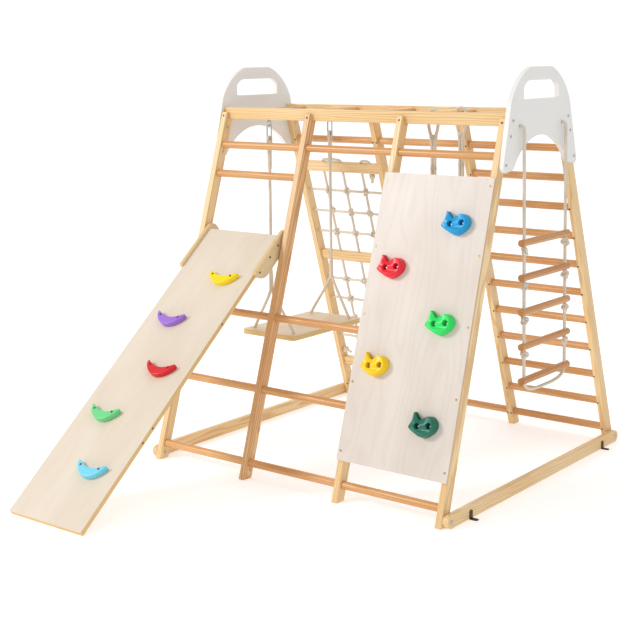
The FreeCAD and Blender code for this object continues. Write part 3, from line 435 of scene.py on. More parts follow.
# ---------------------------------------------------------------- finishes
@dataclass(frozen=True)
class Timber:
    """Sawn or turned timber whose grain follows the piece."""

    name: str
    light: Colour
    warm: Colour
    dark: Colour
    rings: float = 1250.0
    contrast: float = 0.5
    flecks: float = 0.0
    branches: float = 0.0
    roughness: float = 0.46
    coat: float = 0.18

    def material(self, way: Way, shift: float = 0.0) -> bpy.types.Material:
        """Material with the grain turned for a piece.

        Args:
            way: How the piece lies.
            shift: Distance that moves the pattern, so that neighbours differ.

        Returns:
            The material.
        """
        material, graph, shader = new_material(
            "%s_%s_%d" % (self.name, way.name.lower(), round(shift * 100)),
            {"Coat Weight": self.coat, "Coat Roughness": 0.35})
        where = graph.add("ShaderNodeTexCoord").outputs["Object"]
        turn = tuple(math.radians(a) for a in way.value)
        values = {"Vector": where, "Location": (shift * 3.1, shift * 0.37, shift * 0.23), "Rotation": turn}
        local = graph.add("ShaderNodeMapping", values).outputs[0]
        grain = graph.group(GROUPS.grain, {
            "Vector": local, "Light": rgba(self.light), "Dark": rgba(self.dark), "Warm": rgba(self.warm),
            "Rings": self.rings, "Contrast": self.contrast, "Flecks": self.flecks, "Branches": self.branches})
        marks = graph.group(GROUPS.handling, {"Vector": where})
        soiled = graph.mix(graph.math("MULTIPLY", marks.outputs["Smudge"], 0.10), grain.outputs["Color"],
                           rgba(self.warm))
        graph.join(soiled, shader.inputs["Base Color"])
        rough = graph.math("MULTIPLY_ADD", grain.outputs["Sheen"], 0.16, self.roughness - 0.08)
        worn = graph.math("MULTIPLY_ADD", marks.outputs["Rub"], 0.07, rough)
        graph.join(worn, shader.inputs["Roughness"])
        bump(graph, shader, grain.outputs["Height"], 0.35, 0.00035)
        return material


@dataclass(frozen=True)
class Plywood:
    """Birch plywood: a face veneer and plies that show along every cut edge."""

    name: str
    light: Colour
    warm: Colour
    dark: Colour
    edge_light: Colour
    edge_dark: Colour
    thickness: float
    plies: int
    contrast: float = 0.25
    roughness: float = 0.5

    def material(self, place: Matrix, face_turn: float, name: str) -> bpy.types.Material:
        """Material for a board.

        Args:
            place: The board's placement, with local Z through its thickness from its back.
            face_turn: Turn about local Z that brings the grain along X, in degrees.
            name: What the board is.

        Returns:
            The material.
        """
        material, graph, shader = new_material(
            "%s_%s" % (self.name, name), {"Coat Weight": 0.12, "Coat Roughness": 0.3})
        inverse = place.inverted()
        euler = inverse.to_euler("XYZ")
        where = graph.add("ShaderNodeTexCoord").outputs["Object"]
        values = {"Vector": where, "Location": tuple(inverse.to_translation()), "Rotation": tuple(euler)}
        local = graph.add("ShaderNodeMapping", values).outputs[0]
        values = {"Vector": local, "Rotation": (0, 0, math.radians(face_turn))}
        turned = graph.add("ShaderNodeMapping", values)
        grain = graph.group(GROUPS.veneer, {
            "Vector": turned.outputs[0], "Light": rgba(self.light), "Dark": rgba(self.dark),
            "Warm": rgba(self.warm), "Contrast": self.contrast})
        plies = graph.group(GROUPS.ply, {
            "Vector": local, "Thickness": self.thickness, "Veneer": self.thickness / self.plies})
        edge = graph.mix(plies.outputs["Cross"], rgba(self.edge_light), rgba(self.edge_dark))
        streaks = graph.ramp(graph.noise(graph.stretch(local, (40, 40, 900)), 1.0, 2.0), 0.4, 0.7)
        edge = graph.mix(graph.math("MULTIPLY", streaks, 0.35), edge, rgba(self.edge_dark))
        edge = graph.mix(graph.math("MULTIPLY", plies.outputs["Glue"], 0.35), edge, rgba(self.dark))
        shown = graph.mix(plies.outputs["Core"], grain.outputs["Color"], edge)
        graph.join(shown, shader.inputs["Base Color"])
        marks = graph.group(GROUPS.handling, {"Vector": where})
        rough = graph.math("MULTIPLY_ADD", grain.outputs["Sheen"], 0.12, self.roughness - 0.06)
        rough = graph.math("MULTIPLY_ADD", marks.outputs["Smudge"], -0.06, rough)
        rough = graph.math("MULTIPLY_ADD", plies.outputs["Core"], 0.18, rough)
        graph.join(rough, shader.inputs["Roughness"])
        height = graph.math("MULTIPLY_ADD", plies.outputs["Glue"], -0.5, grain.outputs["Height"])
        bump(graph, shader, height, 0.3, 0.0003)
        return material


@dataclass(frozen=True)
class Coating:
    """Paint or moulded plastic of one colour, with its orange peel, grit and rubbed spots."""

    name: str
    colour: Colour
    deep: Colour
    roughness: float = 0.38
    coat: float = 0.12
    grit: float = 0.1
    subsurface: float = 0.0

    def material(self) -> bpy.types.Material:
        """The coating's material."""
        material, graph, shader = new_material(self.name, {
            "Coat Weight": self.coat, "Coat Roughness": 0.12, "Specular IOR Level": 0.38,
            "Subsurface Weight": self.subsurface, "Subsurface Scale": 0.003})
        where = graph.add("ShaderNodeTexCoord").outputs["Object"]
        marks = graph.group(GROUPS.handling, {"Vector": where})
        shade = graph.math("MULTIPLY", marks.outputs["Smudge"], 0.35)
        colour = graph.mix(shade, rgba(self.colour), rgba(self.deep))
        speck = graph.math("MULTIPLY", graph.ramp(marks.outputs["Grit"], 0.62, 0.75), 0.35)
        graph.join(graph.mix(speck, colour, rgba(self.deep)), shader.inputs["Base Color"])
        rough = graph.math("MULTIPLY_ADD", marks.outputs["Rub"], 0.12, self.roughness)
        rough = graph.math("MULTIPLY_ADD", marks.outputs["Smudge"], -0.05, rough)
        graph.join(rough, shader.inputs["Roughness"])
        peel = graph.math("MULTIPLY", graph.noise(where, 420.0, 2.0), 0.3)
        height = graph.math("MULTIPLY_ADD", marks.outputs["Grit"], self.grit, peel)
        bump(graph, shader, height, 0.22, 0.0002)
        return material


@dataclass(frozen=True)
class Metal:
    """Plated steel with fine brushing and dulled spots."""

    name: str
    colour: Colour
    dull: Colour
    roughness: float = 0.28

    def material(self) -> bpy.types.Material:
        """The metal's material."""
        material, graph, shader = new_material(self.name, {"Metallic": 1.0})
        where = graph.add("ShaderNodeTexCoord").outputs["Object"]
        marks = graph.group(GROUPS.handling, {"Vector": where})
        blotch = graph.ramp(graph.noise(where, 220.0, 4.0, 0.6), 0.45, 0.7)
        shown = graph.mix(blotch, rgba(self.colour), rgba(self.dull))
        graph.join(shown, shader.inputs["Base Color"])
        rough = graph.math("MULTIPLY_ADD", blotch, 0.18, self.roughness)
        rough = graph.math("MULTIPLY_ADD", marks.outputs["Grit"], 0.1, rough)
        graph.join(rough, shader.inputs["Roughness"])
        bump(graph, shader, marks.outputs["Grit"], 0.15, 0.0001)
        return material


@dataclass(frozen=True)
class Cotton:
    """Plaited cotton cord, read from the tube's own UV map, with painted shade between strands."""

    name: str
    light: Colour
    # Colour of stains, and of the painted shade in the hollows between strands.
    shade: Colour
    strands: float = 8.0
    pitch: float = 3.2

    def material(self) -> bpy.types.Material:
        """The cord's material."""
        material, graph, shader = new_material(self.name, {
            "Sheen Weight": 0.08, "Sheen Roughness": 0.5, "Specular IOR Level": 0.25})
        where = graph.add("ShaderNodeTexCoord")
        plait = graph.group(GROUPS.plait, {
            "Vector": where.outputs["UV"], "Strands": self.strands / 2, "Pitch": self.pitch / 2})
        stain = graph.ramp(graph.noise(where.outputs["Object"], 16.0, 3.0), 0.35, 0.75)
        base = graph.mix(graph.math("MULTIPLY", stain, 0.35), rgba(self.light), rgba(self.shade))
        fluff = graph.mix(graph.math("MULTIPLY", plait.outputs["Fluff"], 0.3), base, rgba(self.light))
        # Painted shade: the hollows between the strands are darkened towards the shade colour.
        shown = graph.mix(graph.math("MULTIPLY", plait.outputs["Gap"], 0.55), fluff, rgba(self.shade))
        graph.join(shown, shader.inputs["Base Color"])
        rough = graph.math("MULTIPLY_ADD", plait.outputs["Fluff"], 0.15, 0.75)
        graph.join(rough, shader.inputs["Roughness"])
        bump(graph, shader, plait.outputs["Height"], 0.6, 0.0006)
        return material


PINE = Timber("pine", (240, 213, 164), (230, 193, 134), (197, 142, 82), rings=1050.0, contrast=0.6,
              branches=0.35)
PINE_WARM = Timber("pine_warm", (230, 190, 136), (214, 157, 98), (160, 96, 46), rings=1050.0, contrast=0.7,
                   branches=1.0)
BEECH = Timber("beech", (222, 168, 108), (207, 147, 84), (160, 94, 46), rings=700.0, contrast=0.35,
               flecks=0.5, roughness=0.4)
BEECH_DARK = Timber("beech_dark", (214, 157, 93), (196, 133, 70), (140, 78, 36), rings=700.0, contrast=0.38,
                    flecks=0.5, roughness=0.42)
BIRCH = Plywood("birch", (226, 213, 196), (220, 206, 187), (200, 180, 152), (232, 198, 138), (212, 172, 112),
                0.016, 11, contrast=0.15)
BOARD_PLY = Plywood("board_ply", (221, 211, 202), (214, 202, 191), (190, 172, 158), (228, 194, 140),
                    (204, 162, 106), 0.009, 7, contrast=0.25)
CHEEK_PLY = Plywood("cheek_ply", (226, 206, 166), (217, 192, 146), (190, 158, 110), (232, 198, 138),
                    (212, 172, 112), 0.012, 9, contrast=0.25)
SEAT_PLY = Plywood("seat_ply", (229, 211, 182), (221, 199, 164), (194, 162, 120), (226, 198, 138),
                   (208, 172, 108), 0.018, 13, contrast=0.3)
WHITE = Coating("white_lacquer", (236, 235, 232), (226, 224, 220), roughness=0.4, coat=0.15, grit=0.2)
STEEL = Metal("zinc_steel", (196, 198, 200), (150, 152, 154))
DARK_STEEL = Metal("browned_steel", (96, 84, 70), (64, 57, 49), roughness=0.4)
BRASS_STEEL = Metal("yellow_zinc_steel", (176, 150, 104), (122, 98, 62), roughness=0.36)
# The second colour of each cord serves its stains and the painted shade between its strands.
COTTON = Cotton("cotton_cord", (229, 219, 203), (184, 166, 142))
NET_COTTON = Cotton("net_cord", (231, 221, 205), (188, 170, 145))
PAINTS = {
    "yellow": Coating("paint_yellow", (250, 222, 0), (240, 206, 0)),
    "purple": Coating("paint_purple", (160, 112, 214), (146, 96, 200)),
    "red": Coating("paint_red", (216, 28, 40), (198, 18, 30)),
    "green": Coating("paint_green", (112, 212, 138), (94, 196, 122)),
    "cyan": Coating("paint_cyan", (118, 210, 236), (98, 196, 226)),
}
PLASTICS = {
    "dark_green": Coating("plastic_dark_green", (14, 108, 86), (6, 88, 70), 0.36, 0.05, 0.5, 0.05),
    "yellow": Coating("plastic_yellow", (248, 206, 0), (236, 190, 0), 0.36, 0.05, 0.5, 0.05),
    "green": Coating("plastic_green", (34, 224, 100), (20, 206, 84), 0.36, 0.05, 0.5, 0.05),
    "red": Coating("plastic_red", (240, 34, 52), (224, 22, 42), 0.36, 0.05, 0.5, 0.05),
    "blue": Coating("plastic_blue", (0, 158, 216), (0, 138, 198), 0.36, 0.05, 0.5, 0.05),
}


# ---------------------------------------------------------------- meshes
def linked(name: str, data: bpy.types.ID) -> bpy.types.Object:
    """Object of a mesh, camera or light, linked to the scene."""
    obj = bpy.data.objects.new(name, data)
    bpy.context.scene.collection.objects.link(obj)
    return obj


def smooth_object(name: str, points: np.ndarray, faces: list) -> bpy.types.Object:
    """Makes a smoothly shaded mesh object.

    Args:
        name: The object's name.
        points: Points, in metres, in the frame of the whole object.
        faces: Corner numbers of each face.

    Returns:
        The new object, linked to the scene.
    """
    mesh = bpy.data.meshes.new(name)
    mesh.from_pydata(points.tolist(), [], faces)
    mesh.shade_smooth()
    return linked(name, mesh)


def grid_quads(rows: int, columns: int, close_rows: bool, close_columns: bool) -> np.ndarray:
    """Quads of a grid of points numbered row by row.

    Args:
        rows: Number of rows.
        columns: Points in each row.
        close_rows: Whether the last row joins the first.
        close_columns: Whether the last column joins the first.

    Returns:
        Four corner numbers for each quad.
    """
    i = np.arange(rows if close_rows else rows - 1)[:, None]
    j = np.arange(columns if close_columns else columns - 1)[None, :]
    up, right = (i + 1) % rows, (j + 1) % columns
    quads = np.stack(np.broadcast_arrays(i * columns + j, i * columns + right, up * columns + right,
                                         up * columns + j), axis=-1)
    return quads.reshape(-1, 4)


def capped(points: np.ndarray, rows: int, columns: int) -> tuple[np.ndarray, np.ndarray]:
    """Closes both ends of a tube of rings with triangles to a middle point.

    Args:
        points: The tube's points, ring by ring.
        rows: Number of rings.
        columns: Points in each ring.

    Returns:
        The points with the two middles added, and the end triangles.
    """
    last = (rows - 1) * columns
    middles = points[:columns].mean(axis=0), points[last:].mean(axis=0)
    j = np.arange(columns)
    k = (j + 1) % columns
    start = np.stack([np.full(columns, rows * columns), k, j], axis=-1)
    finish = np.stack([np.full(columns, rows * columns + 1), last + j, last + k], axis=-1)
    return np.vstack([points, *middles]), np.vstack([start, finish])


def merged(shell: bmesh.types.BMesh, mesh: bpy.types.Mesh) -> None:
    """Loads a mesh into a shell and merges its doubled points."""
    shell.from_mesh(mesh)
    bmesh.ops.remove_doubles(shell, verts=shell.verts, dist=MERGE)


def closed_form(name: str, grid: np.ndarray, sharp: float | None = None) -> bpy.types.Object:
    """Solid form from a grid of points whose columns are rings; both ends are closed.

    Args:
        name: The object's name.
        grid: Rows by columns by three coordinates.
        sharp: Angle past which edges stay sharp, or none.

    Returns:
        The new object, its doubled points merged and its faces outwards.
    """
    rows, columns = grid.shape[:2]
    points, ends = capped(grid.reshape(-1, 3), rows, columns)
    obj = smooth_object(name, points, grid_quads(rows, columns, False, True).tolist() + ends.tolist())
    shell = bmesh.new()
    merged(shell, obj.data)
    bmesh.ops.recalc_face_normals(shell, faces=shell.faces)
    shell.to_mesh(obj.data)
    shell.free()
    obj.data.shade_smooth()
    if sharp is not None:
        obj.data.set_sharp_from_angle(angle=sharp)
    return obj


def rotation_between(first: np.ndarray, second: np.ndarray) -> np.ndarray:
    """Matrices that turn each first direction onto the second: I + K + K K / (1 + cosine).

    Args:
        first: Unit directions, one a row.
        second: Unit directions, one a row.

    Returns:
        One matrix for each row.
    """
    axis = np.cross(first, second)
    cosine = (first * second).sum(axis=1)
    skew = np.zeros((len(axis), 3, 3))
    skew[:, 0, 1], skew[:, 0, 2], skew[:, 1, 2] = -axis[:, 2], axis[:, 1], -axis[:, 0]
    skew = skew - skew.transpose(0, 2, 1)
    return np.eye(3) + skew + skew @ skew / (1.0 + cosine)[:, None, None]


def frames_along(path: np.ndarray) -> tuple[np.ndarray, np.ndarray]:
    """Two directions across an open path at each point, carried along with no twist.

    Args:
        path: The path's points.

    Returns:
        The directions to its side, and those square to them.
    """
    tangent = np.gradient(path, axis=0)
    tangent /= np.linalg.norm(tangent, axis=1)[:, None]
    seed = np.eye(3)[np.abs(tangent[0]).argmin()]
    side = np.cross(tangent[0], seed)
    side /= np.linalg.norm(side)
    turns = rotation_between(tangent[:-1], tangent[1:])
    sides = np.array(list(accumulate(turns, lambda vector, turn: turn @ vector, initial=side)))
    return sides, np.cross(tangent, sides)


def even_steps(line: np.ndarray, step: float) -> np.ndarray:
    """The line again, with its points an even step apart.

    Args:
        line: Points of the line.
        step: About how far apart they are to be.

    Returns:
        The new points, at least three.
    """
    lengths = np.concatenate([[0.0], np.cumsum(np.linalg.norm(np.diff(line, axis=0), axis=1))])
    at = np.linspace(0.0, lengths[-1], max(3, round(lengths[-1] / step) + 1))
    return np.stack([np.interp(at, lengths, line[:, k]) for k in range(3)], axis=1)


def spline_line(route: list[tuple[float, float, float]], name: str) -> np.ndarray:
    """Smooth line of a route, whose points are the control points of a NURBS spline.

    Args:
        route: The control points.
        name: What the line is for.

    Returns:
        Points along the spline.
    """
    curve = bpy.data.curves.new(name + "_line", "CURVE")
    curve.dimensions = "3D"
    curve.resolution_u = 24
    spline = curve.splines.new("NURBS")
    spline.points.add(len(route) - 1)
    for point, place in zip(spline.points, route):
        point.co = (*place, 1.0)
    spline.order_u = 3
    spline.use_endpoint_u = True
    carrier = bpy.data.objects.new(name + "_line", curve)
    mesh = bpy.data.meshes.new_from_object(carrier)
    line = np.array([v.co for v in mesh.vertices], float)
    bpy.data.meshes.remove(mesh)
    bpy.data.objects.remove(carrier)
    bpy.data.curves.remove(curve)
    return line


@dataclass(frozen=True)
class CordShape:
    """Section of a plaited cord, with the low relief of its crossing strands."""

    radius: float
    columns: int = 16
    relief: float = 0.035

    @property
    def step(self) -> float:
        """Distance between rings: half a plait."""
        return self.radius * 0.34

    def rings(self, path: np.ndarray, across: np.ndarray, other: np.ndarray,
              swell: np.ndarray | float = 1.0) -> np.ndarray:
        """Points of the tube.

        Each is path + r (across cos a + other sin a), with r the radius times the swell and
        1 + relief cos(8 a) cos(pi i) for ring i.

        Args:
            path: Centres of the rings.
            across: A direction across the path at each centre.
            other: The direction square to both.
            swell: Factor on the radius, the same all along or one for each ring.

        Returns:
            Rings by columns by three coordinates.
        """
        angle = np.arange(self.columns) / self.columns * 2 * math.pi
        ring = np.arange(len(path))
        plait = 1.0 + self.relief * np.cos(8 * angle)[None, :] * np.cos(math.pi * ring)[:, None]
        radius = self.radius * np.broadcast_to(swell, (len(path),))[:, None] * plait
        cosine, sine = np.cos(angle)[None, :, None], np.sin(angle)[None, :, None]
        return path[:, None, :] + radius[..., None] * (across[:, None, :] * cosine + other[:, None, :] * sine)

    def uv(self, path: np.ndarray, closed: bool) -> np.ndarray:
        """UV of every corner: U once round, V along in diameters.

        Args:
            path: Centres of the rings.
            closed: Whether the last ring joins the first.

        Returns:
            Two numbers for each corner of each quad.
        """
        steps = np.linalg.norm(np.diff(path, axis=0, append=path[:1] if closed else path[-1:]), axis=1)
        along = np.concatenate([[0.0], np.cumsum(steps)]) / (2 * self.radius)
        rows = len(path) if closed else len(path) - 1
        u = np.arange(self.columns + 1) / self.columns
        u0, v0 = np.broadcast_arrays(u[None, :-1], along[:rows, None])
        u1, v1 = np.broadcast_arrays(u[None, 1:], along[1:rows + 1, None])
        corners = [np.stack(pair, axis=-1) for pair in ((u0, v0), (u1, v0), (u1, v1), (u0, v1))]
        return np.stack(corners, axis=2).reshape(-1, 2)


@dataclass
class MeshParts:
    """Points, faces and UVs gathered from several surfaces for one object."""

    points: list[np.ndarray] = field(default_factory=list)
    faces: list[tuple] = field(default_factory=list)
    uvs: list[np.ndarray] = field(default_factory=list)
    count: int = 0

    def put(self, points: np.ndarray, faces: np.ndarray, uv: np.ndarray) -> None:
        """Adds one surface.

        Args:
            points: Its points.
            faces: Corner numbers of its faces, from 0.
            uv: Two numbers for each corner.
        """
        self.points.append(points)
        self.faces += (faces + self.count).tolist()
        self.uvs.append(uv)
        self.count += len(points)

    def open_cord(self, line: np.ndarray, shape: CordShape, swell: np.ndarray | float = 1.0) -> np.ndarray:
        """Adds an open plaited tube.

        Args:
            line: Points of its centreline.
            shape: Its section.
            swell: Factor on the radius, the same all along or read evenly from end to end.

        Returns:
            The ring centres that it follows.
        """
        path = even_steps(line, shape.step)
        if isinstance(swell, np.ndarray):
            swell = np.interp(np.linspace(0, 1, len(path)), np.linspace(0, 1, len(swell)), swell)
        rings = shape.rings(path, *frames_along(path), swell).reshape(-1, 3)
        faces = grid_quads(len(path), shape.columns, False, True)
        points, ends = capped(rings, len(path), shape.columns)
        self.put(points, faces, shape.uv(path, False))
        self.faces += (ends + self.count - len(points)).tolist()
        self.uvs.append(np.zeros((ends.size, 2)))
        return path

    def closed_cord(self, path: np.ndarray, centre: np.ndarray, shape: CordShape) -> None:
        """Adds a closed plaited tube.

        Args:
            path: Centres of its rings.
            centre: Point that its sections face away from.
            shape: Its section.
        """
        tangent = np.roll(path, -1, axis=0) - np.roll(path, 1, axis=0)
        tangent /= np.linalg.norm(tangent, axis=1)[:, None]
        away = path - centre
        away -= (away * tangent).sum(axis=1)[:, None] * tangent
        away /= np.linalg.norm(away, axis=1)[:, None]
        rings = shape.rings(path, away, np.cross(tangent, away)).reshape(-1, 3)
        self.put(rings, grid_quads(len(path), shape.columns, True, True), shape.uv(path, True))

    def make(self, name: str) -> bpy.types.Object:
        """Makes one object of all the surfaces.

        Args:
            name: The object's name.

        Returns:
            The object, with its UV map.
        """
        obj = smooth_object(name, np.vstack(self.points), self.faces)
        layer = obj.data.uv_layers.new(name="along_cord")
        layer.data.foreach_set("uv", np.vstack(self.uvs).astype(np.float32).ravel())
        return obj


def knot_curve(centre: Vector, size: tuple[float, float, float], turn: Euler, step: float) -> np.ndarray:
    """Closed line of a pulled-tight overhand knot.

    It is the trefoil (sin t + 2 sin 2t, cos t - 2 cos 2t, -sin 3t) over 3, scaled on each axis,
    turned and moved.

    Args:
        centre: The knot's middle.
        size: Reach from the middle on each axis, before the turn.
        turn: How the knot lies.
        step: About how far apart the points are to be.

    Returns:
        Points once round.
    """
    count = max(36, round(4.0 * max(size) * 2 * math.pi / step / 2.4))
    t = np.linspace(0, 2 * math.pi, count, endpoint=False)
    x, y, z = np.sin(t) + 2 * np.sin(2 * t), np.cos(t) - 2 * np.cos(2 * t), -np.sin(3 * t)
    line = np.stack([x, y, z], axis=1) / 3
    line *= np.array(size) * np.array([1.0, 1.0, 2.2])
    return line @ np.array(turn.to_matrix()).T + np.array(centre)


def dress(obj: bpy.types.Object, material: bpy.types.Material) -> bpy.types.Object:
    """Puts one material on all of an object.

    Args:
        obj: The object.
        material: The material.

    Returns:
        The object.
    """
    slots = obj.data.materials
    slots.clear()
    slots.append(material)
    return obj


def place_piece(obj: bpy.types.Object, body: str, slot: str, material: bpy.types.Material,
                *replaced: str) -> bpy.types.Object:
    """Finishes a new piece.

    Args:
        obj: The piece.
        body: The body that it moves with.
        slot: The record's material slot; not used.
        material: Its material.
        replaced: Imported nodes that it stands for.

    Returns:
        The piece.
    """
    dress(obj, material)
    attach(obj, body)
    if replaced:
        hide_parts(*replaced)
    log.info("%s: %d faces on body %s", obj.name, len(obj.data.polygons), body)
    return obj


def eased_copy(node: str, name: str, width: float, segments: int = 2) -> bpy.types.Object:
    """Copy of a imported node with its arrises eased.

    Loose triangles are merged, flat faces joined, and a Bevel modifier rounds the sharp edges.

    Args:
        node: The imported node.
        name: The copy's name.
        width: Width of the eased arris.
        segments: Faces across it.

    Returns:
        The copy.
    """
    shell = bmesh.new()
    merged(shell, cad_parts[node].data)
    bmesh.ops.dissolve_limit(shell, angle_limit=math.radians(0.6), verts=shell.verts, edges=shell.edges)
    mesh = bpy.data.meshes.new(name)
    shell.to_mesh(mesh)
    shell.free()
    mesh.materials.clear()
    mesh.shade_smooth()
    mesh.set_sharp_from_angle(angle=math.radians(40))
    obj = linked(name, mesh)
    bevel = obj.modifiers.new("eased_arrises", "BEVEL")
    bevel.width = width
    bevel.segments = segments
    bevel.limit_method = "ANGLE"
    bevel.angle_limit = math.radians(50)
    bevel.use_clamp_overlap = True
    bevel.harden_normals = True
    return obj


# ---------------------------------------------------------------- sub-assemblies
@dataclass
class TimberFrame:
    """Legs, beams, rungs, bars and fasteners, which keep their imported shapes."""

    legs: int = 4

    def dress_all(self) -> None:
        """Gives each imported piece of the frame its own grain."""
        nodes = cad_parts
        for index in range(1, self.legs + 1):
            wood = PINE_WARM if index == 2 else PINE
            dress(nodes["front_leg_%d" % index], wood.material(Way.FRONT_LEG, 0.31 * index))
            dress(nodes["back_leg_%d" % index], PINE.material(Way.BACK_LEG, 0.31 * index + 1.7))
        for index, name in enumerate(("front_top_beam", "back_top_beam", "net_top_bar", "net_middle_bar",
                                      "net_bottom_bar")):
            dress(nodes[name], PINE.material(Way.ALONG_X, 0.43 * index + 0.2))
        for index, name in enumerate(("left_floor_beam", "right_floor_beam")):
            dress(nodes[name], PINE.material(Way.ALONG_Y, 0.57 * index + 0.4))
        for index, name in enumerate(("front_rungs_slide_bay", "front_rungs_middle_bay",
                                      "front_rungs_board_bay", "back_rungs_net_bay",
                                      "back_rungs_middle_bay", "back_rungs_ladder_bay")):
            dress(nodes[name], BEECH.material(Way.ALONG_X, 0.29 * index))
        dress(nodes["monkey_bars"], BEECH.material(Way.ALONG_Y, 0.9))
        steel = STEEL.material()
        dark = DARK_STEEL.material()
        for name in ("frame_bolts", "swing_eyes", "swing_carabiners", "swing_front_gate", "swing_back_gate"):
            dress(nodes[name], steel)
        for name in ("frame_screws", "slide_screws", "floor_brackets"):
            dress(nodes[name], dark)
        dress(nodes["board_screws"], BRASS_STEEL.material())
        log.info("timber frame: %d legs dressed", 2 * self.legs)


@dataclass
class EndPanels:
    """White lacquered panels on both ends."""

    arris: float = 0.0022

    def build(self) -> None:
        """Makes both panels with their rounded arrises."""
        material = WHITE.material()
        for name in ("left_panel", "right_panel"):
            place_piece(eased_copy(name, name + "_lacquered", self.arris, 3), "frame", "white_panel",
                        material, name)


@dataclass
class Boards:
    """Plywood of the slide, its cheeks, the climbing board and the seat."""

    slide_half: float = 0.155
    cheek: float = 0.012
    board_start: float = 0.128
    arris: float = 0.0007
    cheek_arris: float = 0.0016
    seat_arris: float = 0.0012

    def build(self) -> None:
        """Makes the boards with eased arrises and dresses them."""
        slide = BIRCH.material(SLIDE, -90.0, "slide")
        place_piece(eased_copy("slide_board", "slide_deck", self.arris), "slide", "birch_ply", slide,
                    "slide_board")
        upright = Matrix.Rotation(math.pi / 2, 4, "Y")
        for name, x in (("slide_left_cheek", -self.slide_half - self.cheek),
                        ("slide_right_cheek", self.slide_half)):
            material = CHEEK_PLY.material(SLIDE @ Matrix.Translation((x, 0, 0)) @ upright, -90.0, name)
            place_piece(eased_copy(name, name + "_ply", self.cheek_arris, 3), "slide", "birch_ply", material,
                        name)
        face = LEGS.plane(Side.FRONT, self.board_start, 0.0, BOARD_BAY)
        board = BOARD_PLY.material(face, -90.0, "climbing_board")
        place_piece(eased_copy("climbing_board", "climbing_face", self.arris), "frame", "board_ply", board,
                    "climbing_board")
        seat_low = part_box("swing_seat")[0]
        seat = SEAT_PLY.material(Matrix.Translation((SLIDE_BAY, 0, seat_low.z)), -90.0, "seat")
        place_piece(eased_copy("swing_seat", "swing_seat_board", self.seat_arris), "swing", "birch_ply", seat,
                    "swing_seat")


@dataclass
class CrescentSteps:
    """Five painted crescents screwed to the slide."""

    first: float = 0.187
    pitch: float = 0.1915
    offset: float = 0.048
    thickness: float = 0.018
    base: float = 0.016
    colours: tuple[str, ...] = ("cyan", "green", "red", "purple", "yellow")

    def surface(self, x: float, along: float) -> np.ndarray:
        """Grid of a crescent.

        For u from -1 to 1 across and a turn a round the section: the upper edge rises as
        4 + 23 u^2 and the lower edge as -27 + 40 u^2.1, in millimetres; the section between
        them is a rounded slab, with |cos|^0.3 and |sin|^0.22 for its corners.

        Args:
            x: Place of its middle across the slide.
            along: Place of its middle up the slide.

        Returns:
            Rows by columns by three coordinates, in metres.
        """
        u = np.sin(np.linspace(-math.pi / 2, math.pi / 2, 57))[:, None]
        a = (np.linspace(0, 2 * math.pi, 48, endpoint=False) + 0.01)[None, :]
        end = np.clip(1 - np.abs(u) ** 12, 0, 1) ** 0.5
        top, low = 4 + 23 * u ** 2, -27 + 40 * np.abs(u) ** 2.1
        middle, half = (top + low) / 2, (top - low) / 2 * end
        across = np.sign(np.cos(a)) * np.abs(np.cos(a)) ** 0.3
        rise = np.sign(np.sin(a)) * np.abs(np.sin(a)) ** 0.22
        half_high = self.thickness / 2 * (0.55 + 0.45 * end)
        local_x = np.broadcast_to(58.5 * u * MM, (57, 48))
        local_y = (middle + half * across) * MM
        local_z = self.base + self.thickness / 2 + half_high * rise + 0 * u
        local = np.stack([local_x + x, local_y + along, local_z], axis=-1)
        matrix = np.array(SLIDE)
        return local @ matrix[:3, :3].T + matrix[:3, 3]

    def build(self) -> None:
        """Makes the five crescents."""
        for index, colour in enumerate(self.colours):
            x = self.offset if index % 2 == 0 else -self.offset
            grid = self.surface(x, self.first + index * self.pitch)
            obj = closed_form("crescent_" + colour, grid, math.radians(50))
            place_piece(obj, "slide", "paint_" + colour, PAINTS[colour].material(), "slide_step_" + colour)


